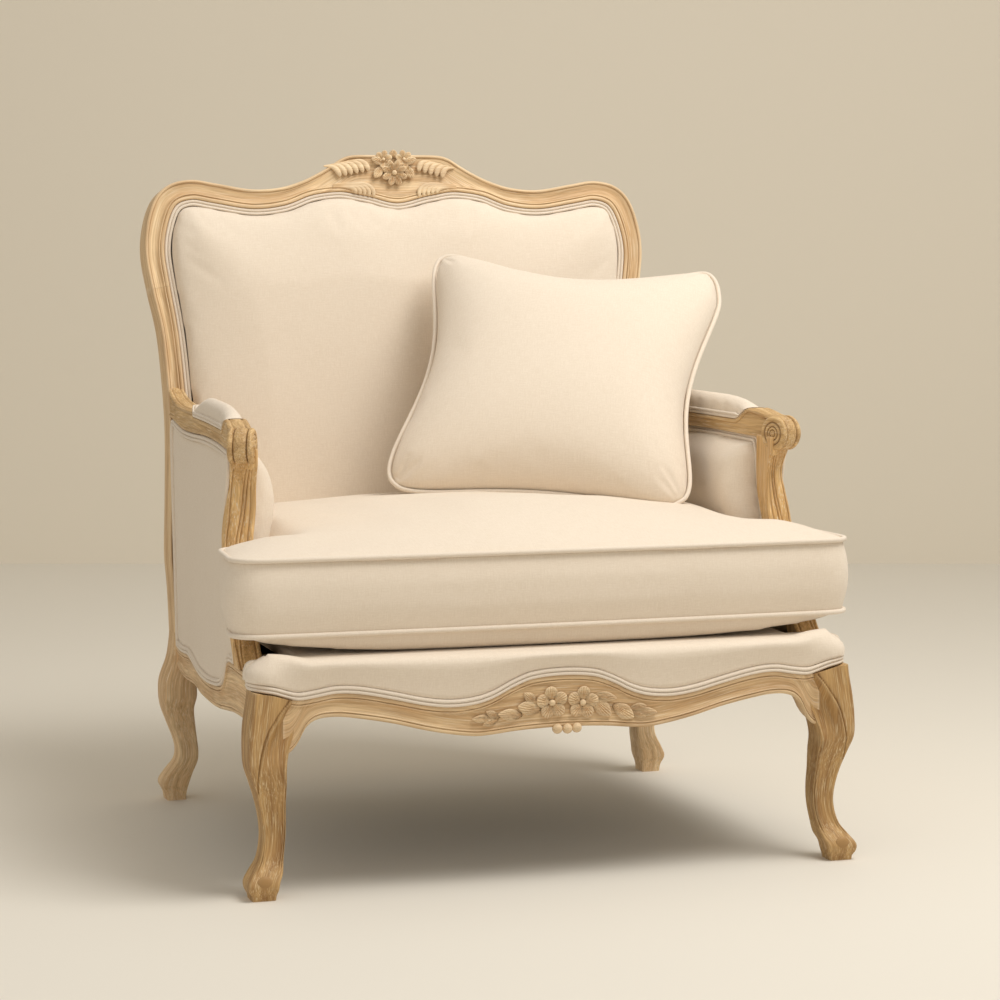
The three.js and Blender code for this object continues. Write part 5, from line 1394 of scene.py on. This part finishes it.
# The border's face over the welt: share of its height, out from the path.
border_face = [
    (0.03, -0.0015), (0.12, -0.001), (0.28, 0.0005), (0.48, 0.0028), (0.66, 0.0052), (0.8, 0.0062),
    (0.9, 0.004), (0.97, -0.003), (1.0, -0.012),
]
border = bmesh.new()
rings = []
for spot in border_path():
    x, y, turn = spot
    foot = border_foot(x, y) + clearance
    low = foot + welt_width
    share = max(abs(x) - (half_front - 0.08), 0) / 0.08
    top = deck_top + 0.008 * sin(min(share * 1.4, 1) * pi / 2) - 0.004 * abs(sin(turn))
    tall = top - low
    section = [(-0.0087, foot), (-0.004, foot), (-0.0035, low)]
    for rise, out in border_face:
        rounded = 0.0035 - 0.0275 * max(rise - 0.3, 0) ** 1.7 / 0.55
        section.append((out + (rounded - out) * eased(share), low + tall * rise))
    section += [(-0.025, top - 0.0005), (-0.025, rail_top + clearance)]
    section.append((-0.0087, rail_top + clearance))
    rings.append([off_path(spot, out, z) for out, z in section])
drawn_out(border, rings)
upholster("front_border_stuffed", border, "front_border_pad")
rings = []
for spot in border_path():
    middle = border_foot(spot[0], spot[1]) + welt_line
    rings.append([off_path(spot, out - 0.0027, middle + up) for out, up in two_cords(0, 0.3)])
welt = bmesh.new()
drawn_out(welt, rings)
trim("front_border_double_welt", welt, ["front_border_welt"])

# At each end of the border the welt climbs beside the rail and turns in over the pad.
end_line, end_turn = -side_front - 0.006, 0.024
end_path = [
    (half_front, rise, 0)
    for rise in np.linspace(border_foot(half_front, -0.41) + 0.008, rail_top, 8)
]
for turn in np.linspace(0.1, 1.3, 10):
    reach = end_turn - 0.008 * eased((turn - 0.5) / 0.8)
    end_path.append((half_front - end_turn + reach * cos(turn), 0.301 + reach * sin(turn), turn))
for name, side in (("right", 1), ("left", -1)):
    rings = [
        [Vector((side * (x + out * cos(turn)), end_line + along, rise + out * sin(turn)))
         for out, along in two_cords(-0.003, 0.1)]
        for x, rise, turn in end_path
    ]
    welt = bmesh.new()
    drawn_out(welt, rings)
    trim(f"{name}_border_end_welt", welt)


def solid_copy(node):
    """A solid of the frame, welded, in the drawing's place."""
    bm = bmesh.new()
    bm.from_mesh(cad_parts[node].data)
    bmesh.ops.translate(bm, verts=bm.verts, vec=(0, -drawing_shift, 0))
    bmesh.ops.remove_doubles(bm, verts=bm.verts, dist=1e-5)
    return bm


deck = solid_copy("seat_deck")
bmesh.ops.dissolve_limit(deck, angle_limit=radians(2), verts=deck.verts, edges=deck.edges)
rims = [edge for edge in deck.edges if edge.calc_face_angle(0) > 0.8]
bmesh.ops.bevel(deck, geom=rims, offset=0.005, offset_type="OFFSET", segments=3, profile=0.5,
                affect="EDGES", material=-1)
upholster("seat_deck_stuffed", deck, "seat_deck", crisp=60)

# Seat cushion. A loose T-shaped box cushion of foam in a fibre wrap, two shaped panels and a
# border sewn with a corded seam along both edges.
cushion_half, cushion_front, cushion_rear = 0.345, 0.42, 0.244
cushion_low, cushion_high, corner, round_corner = 0.352, 0.455, 0.018, 0.034
ear_half, ear_rear, ear_lean, ear_taper, ear_corner = 0.4465, 0.318, 0.046, 0.007, 0.028
straight_up = Vector((0, 0, 1))


def cushion_outline(rear_of_ears):
    def arc(x, y, start, stop, radius=corner):
        turns = np.linspace(start, stop, 12)
        return [
            Vector((x + radius * cos(turn * pi), y + radius * sin(turn * pi))) for turn in turns
        ]

    right = [
        Vector((share * ear_half, -cushion_front - 0.006 * (1 - share**2)))
        for share in np.linspace(0, 0.915, 50)
    ]
    right += [
        *arc(ear_half - round_corner, -cushion_front + round_corner, -0.5, 0, round_corner),
        *arc(ear_half - ear_taper - ear_corner, -rear_of_ears - ear_corner, 0, 0.5, ear_corner),
        *arc(cushion_half + corner, -rear_of_ears + corner, 1.5, 1),
        *arc(cushion_half - corner, cushion_rear - corner, 0, 0.5),
        Vector((0, cushion_rear)),
    ]
    left = [Vector((-point.x, point.y)) for point in right[1:-1]][::-1]
    return evenly([*right, *left], 0.007)


def cushion_seam(share):
    """Seam line at the border's foot (0) or head (1)."""
    line = cushion_outline(ear_rear - ear_lean * share)
    height = cushion_low + (cushion_high - cushion_low) * share
    return [Vector((point.x, point.y, height)) for point in line]


def piping(seam, radius, normal):
    """A cord in a folded strip of cloth, sewn into a seam along a closed line."""
    bm = bmesh.new()
    rings, count = [], len(seam)
    for at, point in enumerate(seam):
        along = (seam[(at + 1) % count] - seam[at - 1]).normalized()
        outward = along.cross(normal).normalized()
        up = outward.cross(along).normalized()
        middle = point + outward * (radius * 0.75)
        rings.append([
            middle + outward * cos(turn) * radius + up * sin(turn) * radius
            for turn in np.linspace(0, 2 * pi, 12, endpoint=False)
        ])
    drawn_out(bm, rings, closed=True)
    return bm


def seam_held(bm, seams, reach):
    """Draws the points nearest a seam onto it, and tells how firmly the seams hold each point."""
    line = np.array([tuple(point) for seam in seams for point in seam])
    spots = np.array([vert.co[:] for vert in bm.verts])
    gaps, nearest = [], []
    for group in np.array_split(spots, max(len(spots) // 1000, 1)):
        size = np.linalg.norm(group[:, None] - line, axis=2)
        nearest.append(size.argmin(1))
        gaps.append(size.min(1))
    gaps, nearest = np.concatenate(gaps), np.concatenate(nearest)
    for vert, gap, place in zip(bm.verts, gaps, nearest):
        if gap < reach:
            vert.co = line[place]
    return np.clip(1.5 - gaps / (reach * 2), 0, 1)


def hump(value, middle, width):
    return np.exp(-(((value - middle) / width) ** 2))


low_seam, high_seam = cushion_seam(0), cushion_seam(1)
core = remeshed(solid_copy("seat_cushion"), 0.007)
for vert in core.verts:
    x, y, z = vert.co
    share = min(max((z - cushion_low) / (cushion_high - cushion_low), 0), 1)
    full = 0.0095 * sin(pi * share)
    near_support = eased((abs(x) - cushion_half - 0.0005) / 0.015) * eased((y + 0.4) / 0.08)
    y += (0.012 + (ear_lean - 0.022) * share) * near_support
    if z > cushion_high:
        swell = 0.012 * hump(abs(x), 0.375, 0.055) * hump(y, -0.33, 0.055)
        swell *= min((ear_half - abs(x)) / 0.03, 1)
        broad = 0.003 * hump(abs(x), 0.305, 0.05) * eased((0.12 - y) / 0.1) * eased((y + 0.4) / 0.1)
        broad += 0.0105 * hump(x, 0.02, 0.21) * eased((-0.07 - y) / 0.12) * eased((y + 0.4) / 0.13)
        broad *= 1 if y < -0.29 else min(max(cushion_half - abs(x), 0) / 0.03, 1) ** 0.5
        z += swell + broad + 0.0025 * min((y + cushion_front) / 0.02, 1)
    side = -1 if x < 0 else 1
    x = side * min(abs(x), ear_half + full)
    way = Vector((abs(x) - ear_half + round_corner, -(y + cushion_front - round_corner)))
    if way.x > 0 and way.y > 0 and way.length > round_corner + full:
        way = way.normalized() * (round_corner + full)
        x, y = side * (ear_half - round_corner + way.x), -cushion_front + round_corner - way.y
    rear = -(ear_rear - ear_lean * share)
    x = side * min(abs(x), ear_half + full - ear_taper * eased((y + 0.38) / 0.09))
    way = Vector((abs(x) - ear_half + ear_taper + ear_corner, y - rear + ear_corner))
    if way.x > 0 and way.y > 0 and way.length > ear_corner + full:
        way = way.normalized() * (ear_corner + full)
        x, y = side * (ear_half - ear_taper - ear_corner + way.x), rear - ear_corner + way.y
    vert.co = (x, y, z)
for _ in range(5):
    bmesh.ops.smooth_vert(core, verts=core.verts, factor=0.5, use_axis_x=True, use_axis_y=True,
                          use_axis_z=True)
fine_seams = [evenly(seam, 0.0015) for seam in (low_seam, high_seam)]
hold = seam_held(core, fine_seams, 0.0042)
core = filled(core, hold, 0.009)
upholster("seat_cushion_filled", core, "seat_cushion", "seat_cushion")
for label, seam in (("top", high_seam), ("bottom", low_seam)):
    cord = piping(seam, 0.0036, straight_up)
    trim(f"cushion_{label}_cord", cord, [f"cushion_{label}_piping"], "seat_cushion")

# Throw pillow. A square feather pillow with a corded seam, leaning in the right-hand corner.
pillow_half = 0.24
pillow_turn = (
    Matrix.Translation((0.168, 0.046, 0.667)) @ Matrix.Rotation(radians(-21), 4, "Z")
    @ Matrix.Rotation(radians(-42.4), 4, "X") @ Matrix.Rotation(radians(4), 4, "Y")
)


def pillow_edge(u, v):
    """Place in the pillow's flat cloth for a square from -1 to 1: soft corners, sides drawn in."""
    if u < 0:
        half_x, drawn_x = pillow_half, 0.045 * max(cos((v - 0.1) * pi / 2.1), 0) ** 1.6
    else:
        half_x, drawn_x = pillow_half - 0.004, 0.034 * max(cos((v + 0.15) * pi / 1.6), 0) ** 1.3
    if v < 0:
        half_z, drawn_z = pillow_half + 0.012, 0.03 * cos(u * pi / 2)
    else:
        half_z = pillow_half + 0.022 + 0.012 * max(u, 0) ** 2
        drawn_z = 0.085 * max(cos((u - 0.1) * pi / 2.5), 0) ** 1.5
    corner_cut = 1 - 0.11 * abs(u * v) ** 5
    return Vector((
        u * corner_cut * (half_x - drawn_x * abs(u)) - 0.006 * (1 - v),
        v * corner_cut * (half_z - drawn_z * abs(v)),
    ))


def packed(share):
    return 0.55 * share + 0.45 * sin(share * pi / 2)


core = bmesh.new()
for facing in (-1, 1):
    for vert in bmesh.ops.create_grid(core, x_segments=64, y_segments=64, size=1)["verts"]:
        u, v = packed(vert.co.x), packed(vert.co.y)
        spot = pillow_edge(u, v)
        swell = ((1 - abs(u) ** 2.4) * (1 - abs(v) ** 2.4)) ** 0.52
        pucker = 0.0016 * sin(19 * np.arctan2(1.02 - abs(v), 1.02 - abs(u))) * abs(u * v) ** 3
        vert.co = (spot.x, facing * (0.086 * swell + pucker * swell**0.3), spot.y)
bmesh.ops.remove_doubles(core, verts=core.verts, dist=1e-5)
bmesh.ops.recalc_face_normals(core, faces=core.faces)
run = np.linspace(-1, 1, 90)[:-1]
edge_run = [(share, -1) for share in run] + [(1, share) for share in run]
edge_run += [(-share, 1) for share in run] + [(-1, -share) for share in run]
flat_seam = [pillow_edge(u, v) for u, v in edge_run]
flat_seam = [Vector((point.x, 0, point.y)) for point in evenly(flat_seam, 0.004)]
hold = seam_held(core, [flat_seam], 0.0001)
core = filled(core, hold, 0.008)
bmesh.ops.transform(core, matrix=pillow_turn, verts=core.verts)
pillow_seam = [pillow_turn @ point for point in flat_seam]
turned_only = pillow_turn.to_3x3()
upholster("throw_pillow_filled", core, "throw_pillow", "throw_pillow",
          turn=turned_only.inverted())
cord = piping(pillow_seam, 0.0034, (turned_only @ Vector((0, -1, 0))).normalized())
trim("throw_pillow_cord", cord, ["pillow_piping"], "throw_pillow")

# Studio. A pale floor meets a warm grey wall, under one large soft lamp overhead and a weak
# fill from the left.
floor_half, wall_half, wall_high, wall_away = 9, 8, 5, 7.7


def painted(name, colour, roughness):
    finish, _, surface = new_finish(name)
    surface.inputs["Base Color"].default_value = colour
    surface.inputs["Roughness"].default_value = roughness
    return finish


def sheet_of(name, corners, finish):
    bm = bmesh.new()
    bmesh.ops.contextual_create(bm, geom=[bm.verts.new(corner) for corner in corners])
    piece = shape_of(name, bm)
    piece.data.materials.append(finish)


floor = [(floor_half * x, floor_half * y, 0) for x, y in ((-1, -1), (1, -1), (1, 1), (-1, 1))]
sheet_of("studio_floor", floor, painted("floor_paint", (0.775, 0.735, 0.655, 1), 0.7))
away = Vector((sin(heading), cos(heading), 0))
across = Vector((cos(heading), -sin(heading), 0))
foot = Vector((eye[0], eye[1], 0)) + away * wall_away
left, right, up = foot - across * wall_half, foot + across * wall_half, straight_up * wall_high
sheet_of("studio_wall", [left, right, right + up, left + up],
         painted("wall_paint", (0.78, 0.715, 0.6, 1), 0.9))


def lamp(name, place, target, width, power, colour):
    light = bpy.data.lights.new(name, "AREA")
    light.shape = "RECTANGLE"
    light.size = light.size_y = width
    light.energy = power
    light.color = colour
    piece = linked(name, light)
    piece.location = place
    piece.rotation_euler = (Vector(target) - Vector(place)).to_track_quat("-Z", "Y").to_euler()
    piece.visible_camera = False


lamp("key_lamp", (1.1, -1.1, 3.3), (0, 0, 0.4), 1.8, 86, (1, 0.975, 0.94))
lamp("fill_lamp", (-2.6, -3.2, 1.6), (0, 0, 0.5), 2.5, 10, (1, 0.97, 0.93))
world = bpy.data.worlds.new("studio_air")
world.use_nodes = True
air = world.node_tree.nodes["Background"].inputs
air["Color"].default_value = (0.95, 0.9, 0.82, 1)
air["Strength"].default_value = 0.56
bpy.context.scene.world = world
bpy.context.scene.view_settings.view_transform = "Standard"
